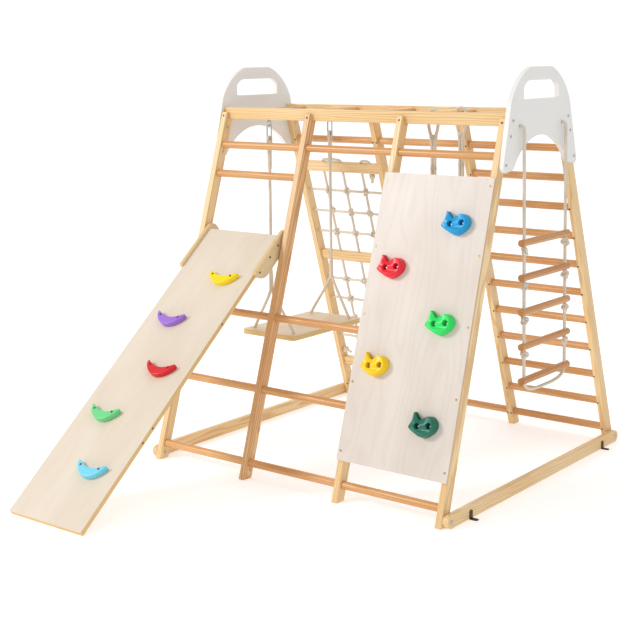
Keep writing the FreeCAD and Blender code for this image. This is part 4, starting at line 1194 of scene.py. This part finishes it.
@dataclass
class Holds:
    """Five moulded holds bolted to the climbing board."""

    first: float = 0.277
    pitch: float = 0.150
    offset: float = 0.102
    board: float = 0.009
    height: float = 30.0
    floor: float = 8.0
    sockets: tuple = ((-19.0, -4.0), (20.0, 2.0))
    colours: tuple[str, ...] = ("dark_green", "yellow", "green", "red", "blue")
    outline: tuple = ((-54, -12), (-50, -3), (-44, 8), (-42, 21), (-41, 36), (-36, 27), (-30, 18), (-20, 15),
                      (-9, 19), (2, 27), (14, 31), (26, 28), (36, 17), (40, 4), (35, -10), (25, -21),
                      (13, -30), (0, -35), (-13, -34), (-27, -28), (-42, -21))

    def rim(self, samples: int) -> np.ndarray:
        """Closed smooth outline through the outline's points, as a Catmull-Rom spline.

        Args:
            samples: Number of points.

        Returns:
            Two coordinates for each point, in millimetres.
        """
        knots = np.array(self.outline, float)
        t = np.arange(samples) * len(knots) / samples
        i = t.astype(int)
        f = (t - i)[:, None]
        p0, p1, p2, p3 = (knots[(i + k) % len(knots)] for k in (-1, 0, 1, 2))
        return 0.5 * (2 * p1 + (p2 - p0) * f + (2 * p0 - 5 * p1 + 4 * p2 - p3) * f ** 2
                      + (3 * p1 - p0 - 3 * p2 + p3) * f ** 3)

    def surface(self) -> np.ndarray:
        """Grid of a hold in its own frame, in metres.

        The outline is scaled by k towards the middle and lifted: a drafted side, a rounded
        shoulder, then a face with a lip along its chin, a saddle between the horns and two
        sockets sunk with a smooth step of the distance from their centres.

        Returns:
            Rows by columns by three coordinates, in metres.
        """
        samples, side, shoulder, face = 240, 6, 12, 66
        rim = self.rim(samples)
        a = np.linspace(0, 1, side)[:, None]
        b = np.linspace(0, math.pi / 2, shoulder)[1:, None]
        c = np.linspace(0, 1, face)[1:, None]
        k = np.vstack([1 - 0.05 * a, 0.95 - 0.12 * (1 - np.cos(b)), 0.83 * (1 - c)])
        lift = np.vstack([0.62 * a, 0.62 + 0.38 * np.sin(b), 1.0 + 0 * c])
        x, y = rim[None, :, 0] * k, rim[None, :, 1] * k - 1.5 * (1 - k)
        reach = np.hypot((x + 6) / 46, (y + 2) / 33)
        crown = self.height * (0.84 + 0.14 * np.cos(np.clip(reach, 0, 1.2) * 1.4))
        saddle = 8.0 * np.exp(-((x + 12) / 15) ** 2 - ((y - 15) / 11) ** 2)
        dish = 4.2 * np.exp(-((x + 4) / 26) ** 2 - ((y + 10) / 7.5) ** 2)
        lip = 3.0 * np.exp(-((y + 23 - 0.010 * (x + 5) ** 2) / 4.5) ** 2) * np.exp(-((x + 5) / 26) ** 2)
        z = lift * (crown - saddle - dish + lip)
        for u, v in self.sockets:
            distance = np.hypot(x - u, y - v)
            open_to = np.clip((distance - 7.0) / 2.4, 0, 1)
            smooth = open_to ** 2 * (3 - 2 * open_to)
            z = np.where(lift >= 0.999, self.floor - 0.4 + (z - self.floor + 0.4) * smooth, z)
        return np.stack([x, y, z], axis=-1) * MM

    def build(self) -> None:
        """Makes the five holds."""
        local = self.surface()
        for index, colour in enumerate(self.colours):
            x = BOARD_BAY + (self.offset if index % 2 == 0 else -self.offset)
            place = np.array(LEGS.plane(Side.FRONT, self.first + index * self.pitch, self.board, x))
            obj = closed_form("moulded_hold_" + colour, local @ place[:3, :3].T + place[:3, 3])
            place_piece(obj, "frame", "hold_" + colour, PLASTICS[colour].material(), "hold_" + colour)


@dataclass
class ClimbingNet:
    """Cord laced through the back legs and three bars, knotted where it crosses."""

    radius: float = 0.0045
    gap: float = 0.087
    rows: tuple[float, ...] = (0.889, 0.803, 0.718, 0.519, 0.435, 0.352, 0.270)
    bars: tuple[float, float] = (0.156, 0.985)
    bar_half: float = 0.019
    last_row: float = 0.204
    last_column: float = 0.130
    knot_size: tuple[float, float, float] = (0.0112, 0.0112, 0.0088)
    end_size: tuple[float, float, float] = (0.0086, 0.0086, 0.0066)

    def at(self, x: float, along: float) -> tuple[float, float, float]:
        """Point in the middle of the legs' depth."""
        return tuple(LEGS.point(Side.BACK, along, LEGS.depth / 2, x))

    def turn_outside(self, face: float, way: int, start: float, end: float) -> list:
        """Route round the outside of a leg from one row's hole to the next row's.

        Args:
            face: Place of the leg's outer face across the frame.
            way: -1 on the left of the net, 1 on its right.
            start: Height of the first hole up the leg.
            end: Height of the next.

        Returns:
            The route's points.
        """
        r = self.radius
        offsets = [(-0.014, start), (0.001, start), (r + 0.0016, start - 0.005), (r + 0.0008, start - 0.018),
                   (r + 0.0008, end + 0.018), (r + 0.0016, end + 0.005), (0.001, end), (-0.014, end)]
        return [self.at(face + way * x, along) for x, along in offsets]

    def lacing(self) -> list:
        """Route of the cross cord: from leg 2 back and forth, down to its end inside leg 1.

        Returns:
            The route's points.
        """
        left, right = SLIDE_BAY - LEGS.pitch / 2, SLIDE_BAY + LEGS.pitch / 2
        half = LEGS.width / 2
        route = [self.at(right + half + 0.004, self.rows[0]), self.at(right - half, self.rows[0])]
        levels = list(self.rows) + [self.last_row]
        for index, (start, end) in enumerate(zip(levels, levels[1:])):
            at_left = index % 2 == 0
            face = left - half if at_left else right + half
            route += self.turn_outside(face, -1 if at_left else 1, start, end)
        route += [self.at(left + half, self.last_row), self.at(left + half + 0.012, self.last_row)]
        return route

    def over_bar(self, bar: float, way: int, x0: float, x1: float) -> list:
        """Route out of one hole of a bar, along its edge and back into the next hole.

        Args:
            bar: Height of the bar's middle up the legs.
            way: 1 over the bar, -1 under it.
            x0: Place of the first hole across the frame.
            x1: Place of the next.

        Returns:
            The route's points.
        """
        edge = bar + way * self.bar_half
        lifts = [(x0, -0.014), (x0, 0.0015), (x0 + 0.006, 0.0070), (x0 + 0.024, 0.0095),
                 (x1 - 0.024, 0.0095), (x1 - 0.006, 0.0070), (x1, 0.0015), (x1, -0.014)]
        return [self.at(x, edge + way * lift) for x, lift in lifts]

    def uprights(self) -> list:
        """Route of the upright cord: up the first column, over, down, under, up and over again.

        Returns:
            The route's points.
        """
        low, high = self.bars
        x = [SLIDE_BAY + (i - 1) * self.gap for i in range(4)]
        x[3] = SLIDE_BAY + self.last_column
        route = [self.at(x[0], low - self.bar_half - 0.006), self.at(x[0], low)]
        route += self.over_bar(high, 1, x[0], x[1]) + self.over_bar(low, -1, x[1], x[2])
        route += self.over_bar(high, 1, x[2], x[3])
        route += [self.at(x[3], high - self.bar_half), self.at(x[3], high - self.bar_half - 0.012)]
        return route

    def end_knot(self, parts: MeshParts, x: float, along: float, tail: tuple[float, float]) -> None:
        """Adds a stopper knot with a short tail.

        Args:
            parts: The surfaces that it joins.
            x: Place across the frame.
            along: Height up the legs.
            tail: How far its tail reaches across and up.
        """
        shape = CordShape(self.radius)
        centre = np.array(self.at(x, along))
        line = knot_curve(Vector(centre), self.end_size, Euler((0.6, 0.3, 0.9)), shape.step)
        parts.closed_cord(line, centre, shape)
        end = np.array(self.at(x + tail[0], along + tail[1]))
        bow = (centre + end) / 2 + np.array([0.002, 0.003, 0.0])
        route = [tuple(centre), tuple(bow), tuple(end)]
        parts.open_cord(spline_line(route, "net_tail"), CordShape(self.radius * 1.05))

    def build(self) -> None:
        """Makes the cords and their knots."""
        material = NET_COTTON.material()
        shape = CordShape(self.radius)
        cords = MeshParts()
        for route in (self.lacing(), self.uprights()):
            cords.open_cord(spline_line(route, "net_cord"), shape)
        place_piece(cords.make("net_cords"), "frame", "net_rope", material, "net_ropes")
        knots = MeshParts()
        for i, row in enumerate(self.rows):
            for j in range(3):
                x = SLIDE_BAY + (j - 1) * self.gap
                centre = np.array(self.at(x, row))
                turn = Euler((0.35 + 0.5 * ((i + j) % 3), 0.25 * i - 0.6, 1.1 * j + 0.7 * i))
                line = knot_curve(Vector(centre), self.knot_size, turn, shape.step)
                knots.closed_cord(line, centre, shape)
        left = SLIDE_BAY - LEGS.pitch / 2 + LEGS.width / 2
        right = SLIDE_BAY + LEGS.pitch / 2 + LEGS.width / 2
        low, high = self.bars
        self.end_knot(knots, SLIDE_BAY + self.last_column, high - self.bar_half - 0.012, (-0.006, -0.026))
        self.end_knot(knots, left + 0.011, self.last_row, (0.022, -0.010))
        self.end_knot(knots, right + 0.010, self.rows[0], (0.006, -0.022))
        self.end_knot(knots, SLIDE_BAY - self.gap, low - self.bar_half - 0.011, (0.005, -0.022))
        place_piece(knots.make("net_knots"), "frame", "net_rope", material)


@dataclass
class Swing:
    """Two hanging ropes with spliced eyes, and a fork down to the seat's holes."""

    radius: float = 0.005
    beam_middle: float = 0.171
    clip_bottom: float = 1.05885
    loop: float = 0.0079
    fork: float = 0.528
    seat_top: float = 0.392
    knot_depth: float = 0.0146
    hole_x: float = 0.089
    hole_y: float = 0.160
    fall: float = 0.79
    leg: float = 0.222
    splice: float = 0.0074
    stopper_size: tuple[float, float, float] = (0.0058, 0.0058, 0.0020)

    def routes(self, side: Side) -> tuple[list, list]:
        """Routes of one side's two ropes.

        Args:
            side: The side of the swing.

        Returns:
            The route of the eye, the fall and one leg of the fork, and that of the other leg.
        """
        y = side.value * self.beam_middle
        hole_y = side.value * self.hole_y
        x = SLIDE_BAY
        c = self.clip_bottom
        w = self.loop
        under = self.seat_top - self.knot_depth
        eye = [(x, y - 0.001, c - 0.075), (x, y - 0.002, c - 0.034), (x, y - w * 0.9, c - 0.014),
               (x, y - w * 1.15, c - 0.001), (x, y - w * 0.8, c + w * 1.05), (x, y + w * 0.8, c + w * 1.05),
               (x, y + w * 1.15, c - 0.001), (x, y + w * 0.9, c - 0.014), (x, y + 0.002, c - 0.034),
               (x, y, c - 0.075)]
        fall = [(x, y, c - 0.16), (x, y, self.fork + 0.14), (x, y, self.fork + 0.05)]
        end_x = x - self.hole_x
        low_leg = [(x - 0.001, y, self.fork + 0.016),
                   (x - 0.010, y * 0.99 + hole_y * 0.01, self.fork - 0.010),
                   (end_x + 0.010, hole_y, self.seat_top + 0.018), (end_x, hole_y, self.seat_top - 0.001),
                   (end_x, hole_y, under)]
        other = [(x + 0.0015, y, self.fork + 0.052), (x + 0.002, y, self.fork + 0.016),
                 (x + 0.010, y * 0.99 + hole_y * 0.01, self.fork - 0.010),
                 (x + self.hole_x - 0.010, hole_y, self.seat_top + 0.018),
                 (x + self.hole_x, hole_y, self.seat_top - 0.001), (x + self.hole_x, hole_y, under)]
        return eye + fall + low_leg, other

    def splices(self, side: Side, name: str, material: bpy.types.Material) -> bpy.types.Object:
        """Two thick stretches where the rope is tucked into itself, and its loose end.

        Args:
            side: The side of the swing.
            name: Start of the piece's name.
            material: The rope's material.

        Returns:
            The piece.
        """
        y = side.value * self.beam_middle
        parts = MeshParts()
        taper = np.array([0.80, 0.97, 1.0, 1.0, 1.0, 1.0, 1.0, 0.99, 0.96, 0.86, 0.60])
        top = self.clip_bottom - 0.0215
        upper = np.array([(SLIDE_BAY, y, top), (SLIDE_BAY, y, top - 0.088)])
        lower = np.array([(SLIDE_BAY, y, self.fork + 0.0005), (SLIDE_BAY, y, self.fork + 0.080)])
        shape = CordShape(self.splice)
        for line in (upper, lower):
            parts.open_cord(line, shape, taper)
        loose_end = [(SLIDE_BAY, y, self.fork + 0.070), (SLIDE_BAY - 0.004, y - 0.002, self.fork + 0.084),
                     (SLIDE_BAY - 0.009, y - 0.004, self.fork + 0.100)]
        parts.open_cord(spline_line(loose_end, "loose_end"), CordShape(self.radius * 0.8))
        return place_piece(parts.make(name + "_splices"), "swing", "rope", material)

    def stopper(self, side: Side, hand: int, name: str, material: bpy.types.Material) -> bpy.types.Object:
        """Stopper knot in the recess under one of the seat's holes.

        Args:
            side: The side of the swing.
            hand: -1 for the hole on the left, 1 for the one on the right.
            name: The piece's name.
            material: The rope's material.

        Returns:
            The piece.
        """
        parts = MeshParts()
        shape = CordShape(self.radius)
        centre = Vector((SLIDE_BAY + hand * self.hole_x, side.value * self.hole_y,
                         self.seat_top - self.knot_depth))
        line = knot_curve(centre, self.stopper_size, Euler((0.05, 0.05 * hand, 0.8)), shape.step)
        parts.closed_cord(line, np.array(centre), shape)
        return place_piece(parts.make(name), "swing", "rope", material)

    def build(self) -> None:
        """Makes both sides of the swing."""
        material = COTTON.material()
        for side in Side:
            name = "swing_" + side.name.lower()
            main, other = self.routes(side)
            for label, route in (("fall", main), ("leg", other)):
                parts = MeshParts()
                path = parts.open_cord(spline_line(route, label), CordShape(self.radius))
                replaced = (name + "_rope",) if label == "fall" else ()
                obj = place_piece(parts.make("%s_%s" % (name, label)), "swing", "rope", material, *replaced)
            near, far = (self.stopper(side, hand, "%s_stopper_%s" % (name, label), material)
                         for hand, label in ((-1, "left"), (1, "right")))
            extras = [self.splices(side, name, material), near]


@dataclass
class GymRings:
    """Wooden rings on doubled ropes over the fourth overhead bar."""

    x: float = 0.240
    spacing: float = 0.084
    radius: float = 0.005
    bar_height: float = 1.146
    ring_top: float = 0.865
    over: float = 0.018
    under: float = 0.0145
    near: float = 0.0052
    splice: float = 0.980
    thread: float = 0.0009
    length: float = 0.688

    def route(self, y: float) -> list:
        """Route of the doubled rope: from the splice over the bar, down, round the ring and back.

        Args:
            y: The strap's place along the bar.

        Returns:
            The route's points.
        """
        o, u, n, bar, ring = self.over, self.under, self.near, self.bar_height, self.ring_top
        offsets = [
            (n, self.splice), (n, bar - 0.074), (o + 0.0008, bar - 0.034), (o + 0.0012, bar + o * 0.85),
            (0.0, bar + o * 1.32), (-o - 0.0012, bar + o * 0.85), (-o - 0.0008, bar - 0.034),
            (-n, bar - 0.074), (-n, ring + 0.058), (-u - 0.001, ring + 0.026),
            (-u - 0.0012, ring - u * 0.85), (0.0, ring - u * 1.32), (u + 0.0012, ring - u * 0.85),
            (u + 0.001, ring + 0.026), (n, ring + 0.058), (n, self.splice - 0.001),
        ]
        return [(self.x + x, y, z) for x, z in offsets]

    def bands(self, y: float, name: str, body: str, material: bpy.types.Material) -> bpy.types.Object:
        """Thread wound round both strands at the neck, the splice and above the ring.

        Each band is a flattened coil: an oval of the two strands' width, rising one thread a turn.

        Args:
            y: The strap's place along the bar.
            name: Start of the piece's name.
            body: The body that it moves with.
            material: The thread's material.

        Returns:
            The piece.
        """
        parts = MeshParts()
        thread = CordShape(self.thread, columns=8, relief=0.0)
        for middle, turns in ((self.bar_height - 0.066, 9), (self.splice, 7), (self.ring_top + 0.052, 9)):
            t = np.linspace(0, 2 * math.pi * turns, 28 * turns)
            pull = self.near + self.radius + 0.0004
            line = np.stack([self.x + pull * np.sign(np.cos(t)) * np.abs(np.cos(t)) ** 0.8,
                             y + (self.radius + 0.0007) * np.sin(t),
                             middle + (t / (2 * math.pi) - turns / 2) * 0.0017], axis=1)
            parts.open_cord(line, thread)
        return place_piece(parts.make(name + "_bands"), body, "rope", material)

    def build(self) -> None:
        """Makes both straps and dresses the rings."""
        material = COTTON.material()
        for side in Side:
            place = side.name.lower()
            y, body = side.value * self.spacing, "ring_" + place
            parts = MeshParts()
            route = self.route(y)
            path = parts.open_cord(spline_line(route, "strap"), CordShape(self.radius))
            obj = place_piece(parts.make(body + "_rope"), body, "rope", material, body + "_strap")
            bands = self.bands(y, body, body, material)
            dress(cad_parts["gym_ring_" + place], BEECH.material(Way.ALONG_Y, 1.3 + side.value * 0.2))


@dataclass
class RopeLadder:
    """Rope ladder on the right panel: one long rope, five dowels and the knots that carry them."""

    x: float = 0.595
    rope_y: float = 0.131
    hole_y: float = 0.133
    hole_z: float = 1.126
    face: float = 0.581
    inner: float = 0.566
    first: float = 0.349
    pitch: float = 0.106
    dowel: float = 0.011
    radius: float = 0.005
    length: float = 1.865
    knot_drop: float = 0.0150
    knot_out: float = 0.0012
    knot_size: tuple[float, float, float] = (0.0100, 0.0112, 0.0066)
    end_in: float = 0.0128
    end_size: tuple[float, float, float] = (0.0082, 0.0082, 0.0054)
    stub_short: float = 0.0028

    def route(self) -> list:
        """Route of the rope: out of one panel hole, down, under the lowest dowel and up again.

        Returns:
            The route's points.
        """
        low, out = self.first, self.face + 0.0005
        half = [
            (out, self.hole_y, self.hole_z), (self.x - 0.007, self.hole_y, self.hole_z - 0.0002),
            (self.x - 0.0015, self.hole_y, self.hole_z - 0.0045), (self.x, self.hole_y, self.hole_z - 0.013),
            (self.x, self.hole_y - 0.0003, self.hole_z - 0.060), (self.x, self.rope_y, low + 0.040),
            (self.x, self.rope_y - 0.0005, low - 0.010), (self.x, self.rope_y - 0.022, low - 0.030),
            (self.x, self.rope_y - 0.070, low - 0.038),
        ]
        return [(px, -py, pz) for px, py, pz in half] + list(reversed(half))

    def knots(self, material: bpy.types.Material) -> bpy.types.Object:
        """Overhand knots under the upper four dowels.

        Args:
            material: The rope's material.

        Returns:
            The piece.
        """
        parts = MeshParts()
        shape = CordShape(self.radius)
        for index in range(1, 5):
            for hand in (-1, 1):
                height = self.first + index * self.pitch - self.dowel - self.knot_drop
                centre = Vector((self.x + self.knot_out, hand * self.rope_y, height))
                turn = Euler((math.pi / 2 + 0.25 * hand, 0.2 * index, 0.5 + 0.6 * index + 0.9 * hand))
                line = knot_curve(centre, self.knot_size, turn, shape.step)
                parts.closed_cord(line, np.array(centre), shape)
        return place_piece(parts.make("ladder_overhand_knots"), "rope_ladder", "rope", material,
                           "ladder_knots")

    def ends(self, material: bpy.types.Material) -> None:
        """Rope ends through the panel, with a stopper knot and a tail inside it.

        Args:
            material: The rope's material.
        """
        parts = MeshParts()
        shape = CordShape(self.radius)
        for hand in (-1, 1):
            centre = Vector((self.inner - self.end_in, hand * self.hole_y, self.hole_z))
            line = knot_curve(centre, self.end_size, Euler((0, math.pi / 2, 0.5 * hand)), shape.step)
            parts.closed_cord(line, np.array(centre), shape)
            stub = np.array([tuple(centre), (self.face - self.stub_short, hand * self.hole_y, self.hole_z)])
            parts.open_cord(stub, shape)
            tail = [tuple(centre), tuple(centre + Vector((-0.008, 0.001, -0.006))),
                    tuple(centre + Vector((-0.010, 0.002, -0.022)))]
            parts.open_cord(spline_line(tail, "tail"), shape)
        place_piece(parts.make("ladder_end_knots"), "frame", "rope", material, "ladder_rope_ends")

    def build(self) -> None:
        """Makes the ladder's rope and knots and dresses its dowels."""
        material = COTTON.material()
        parts = MeshParts()
        route = self.route()
        path = parts.open_cord(spline_line(route, "ladder"), CordShape(self.radius))
        obj = place_piece(parts.make("ladder_long_rope"), "rope_ladder", "rope", material, "ladder_rope")
        knots = self.knots(material)
        self.ends(material)
        dress(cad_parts["ladder_dowels"], BEECH_DARK.material(Way.ALONG_Y, 2.1))


# ---------------------------------------------------------------- studio
@dataclass(frozen=True)
class Camera:
    """Camera at a showroom angle: place in metres, angles in degrees, and the lens with its shift."""

    place: tuple[float, float, float] = (2.5477, -3.6535, 1.3475)
    yaw: float = 38.406
    pitch: float = 5.126
    roll: float = -0.644
    lens: float = 76.22
    shift: tuple[float, float] = (0.01254, -0.2234)

    def build(self) -> None:
        """Makes the camera and sets it as the scene's."""
        a, e, r = (math.radians(v) for v in (self.yaw, self.pitch, self.roll))
        back = Vector((math.sin(a) * math.cos(e), -math.cos(a) * math.cos(e), math.sin(e)))
        right = Vector((math.cos(a), math.sin(a), 0))
        turn = Matrix((right, back.cross(right), back)).transposed()
        turn = turn @ Matrix.Rotation(r, 3, "Z")
        data = bpy.data.cameras.new("showroom_camera")
        data.lens, data.sensor_width = self.lens, 36.0
        data.shift_x, data.shift_y = self.shift
        data.clip_start, data.clip_end = 0.05, 100.0
        camera = linked("showroom_camera", data)
        camera.matrix_world = Matrix.Translation(self.place) @ turn.to_4x4()
        bpy.context.scene.camera = camera


@dataclass(frozen=True)
class AreaLight:
    """A soft round light that looks at a point."""

    name: str
    place: tuple[float, float, float]
    size: float
    power: float
    colour: tuple[float, float, float] = (1.0, 1.0, 1.0)

    def build(self, target: Vector) -> None:
        """Makes the light.

        Args:
            target: The point that it looks at.
        """
        data = bpy.data.lights.new(self.name, "AREA")
        data.shape, data.size = "DISK", self.size
        data.energy, data.color = self.power, self.colour
        light = linked(self.name, data)
        light.location = self.place
        light.rotation_euler = (target - Vector(self.place)).to_track_quat("-Z", "Y").to_euler()


@dataclass
class Studio:
    """White paper sweep, pale surroundings and soft lights, with the key on the left."""

    yaw: float = 38.406
    near: float = 9.0
    far: float = 6.0
    curve: float = 2.5
    height: float = 9.0
    half_width: float = 13.0
    lights: tuple[AreaLight, ...] = (
        AreaLight("key_light", (-3.4, -4.4, 3.3), 1.5, 150.0, (1.0, 0.985, 0.96)),
        AreaLight("fill_light", (4.6, -3.4, 3.0), 3.0, 22.0, (0.97, 0.985, 1.0)),
        AreaLight("top_light", (0.4, 0.6, 5.2), 3.0, 35.0),
    )

    def sweep(self) -> bpy.types.Object:
        """Paper sweep: flat floor, a quarter circle at the back, then a wall.

        Returns:
            The sweep.
        """
        turn = np.linspace(0, math.pi / 2, 33)
        away = np.concatenate([[-self.near], self.far + self.curve * np.sin(turn), [self.far + self.curve]])
        rise = np.concatenate([[0.0], self.curve * (1 - np.cos(turn)), [self.height]])
        sides = np.array([-self.half_width, self.half_width])
        a = math.radians(self.yaw)
        x = sides[None, :] * math.cos(a) - away[:, None] * math.sin(a)
        y = sides[None, :] * math.sin(a) + away[:, None] * math.cos(a)
        points = np.stack([x, y, np.broadcast_to(rise[:, None], x.shape)], axis=-1).reshape(-1, 3)
        return smooth_object("studio_sweep", points, grid_quads(len(away), 2, False, False).tolist())

    def build(self) -> None:
        """Makes the sweep, the world and the lights."""
        floor = self.sweep()
        material, graph, shader = new_material("white_paper", {
            "Roughness": 0.7, "Emission Color": (1.0, 1.0, 1.0, 1.0), "Emission Strength": 0.36})
        where = graph.add("ShaderNodeTexCoord").outputs["Object"]
        tone = graph.mix(graph.noise(where, 0.6, 1.0), rgba((238, 237, 236)), rgba((241, 240, 239)))
        graph.join(tone, shader.inputs["Base Color"])
        dress(floor, material)
        world = bpy.data.worlds.new("studio_world")
        world.use_nodes = True
        backdrop = world.node_tree.nodes["Background"]
        backdrop.inputs[0].default_value = (1.0, 1.0, 1.0, 1.0)
        backdrop.inputs[1].default_value = 0.62
        scene = bpy.context.scene
        scene.world = world
        scene.view_settings.view_transform = "Standard"
        for light in self.lights:
            light.build(Vector((0, -0.1, 0.5)))


def write_sizes() -> None:
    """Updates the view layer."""
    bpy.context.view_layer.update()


def main() -> None:
    """Builds every sub-assembly, the studio and the camera."""
    Camera().build()
    Studio().build()
    RopeLadder().build()
    GymRings().build()
    Swing().build()
    ClimbingNet().build()
    TimberFrame().dress_all()
    EndPanels().build()
    Boards().build()
    CrescentSteps().build()
    Holds().build()
    write_sizes()


if __name__ == "__main__":
    main()
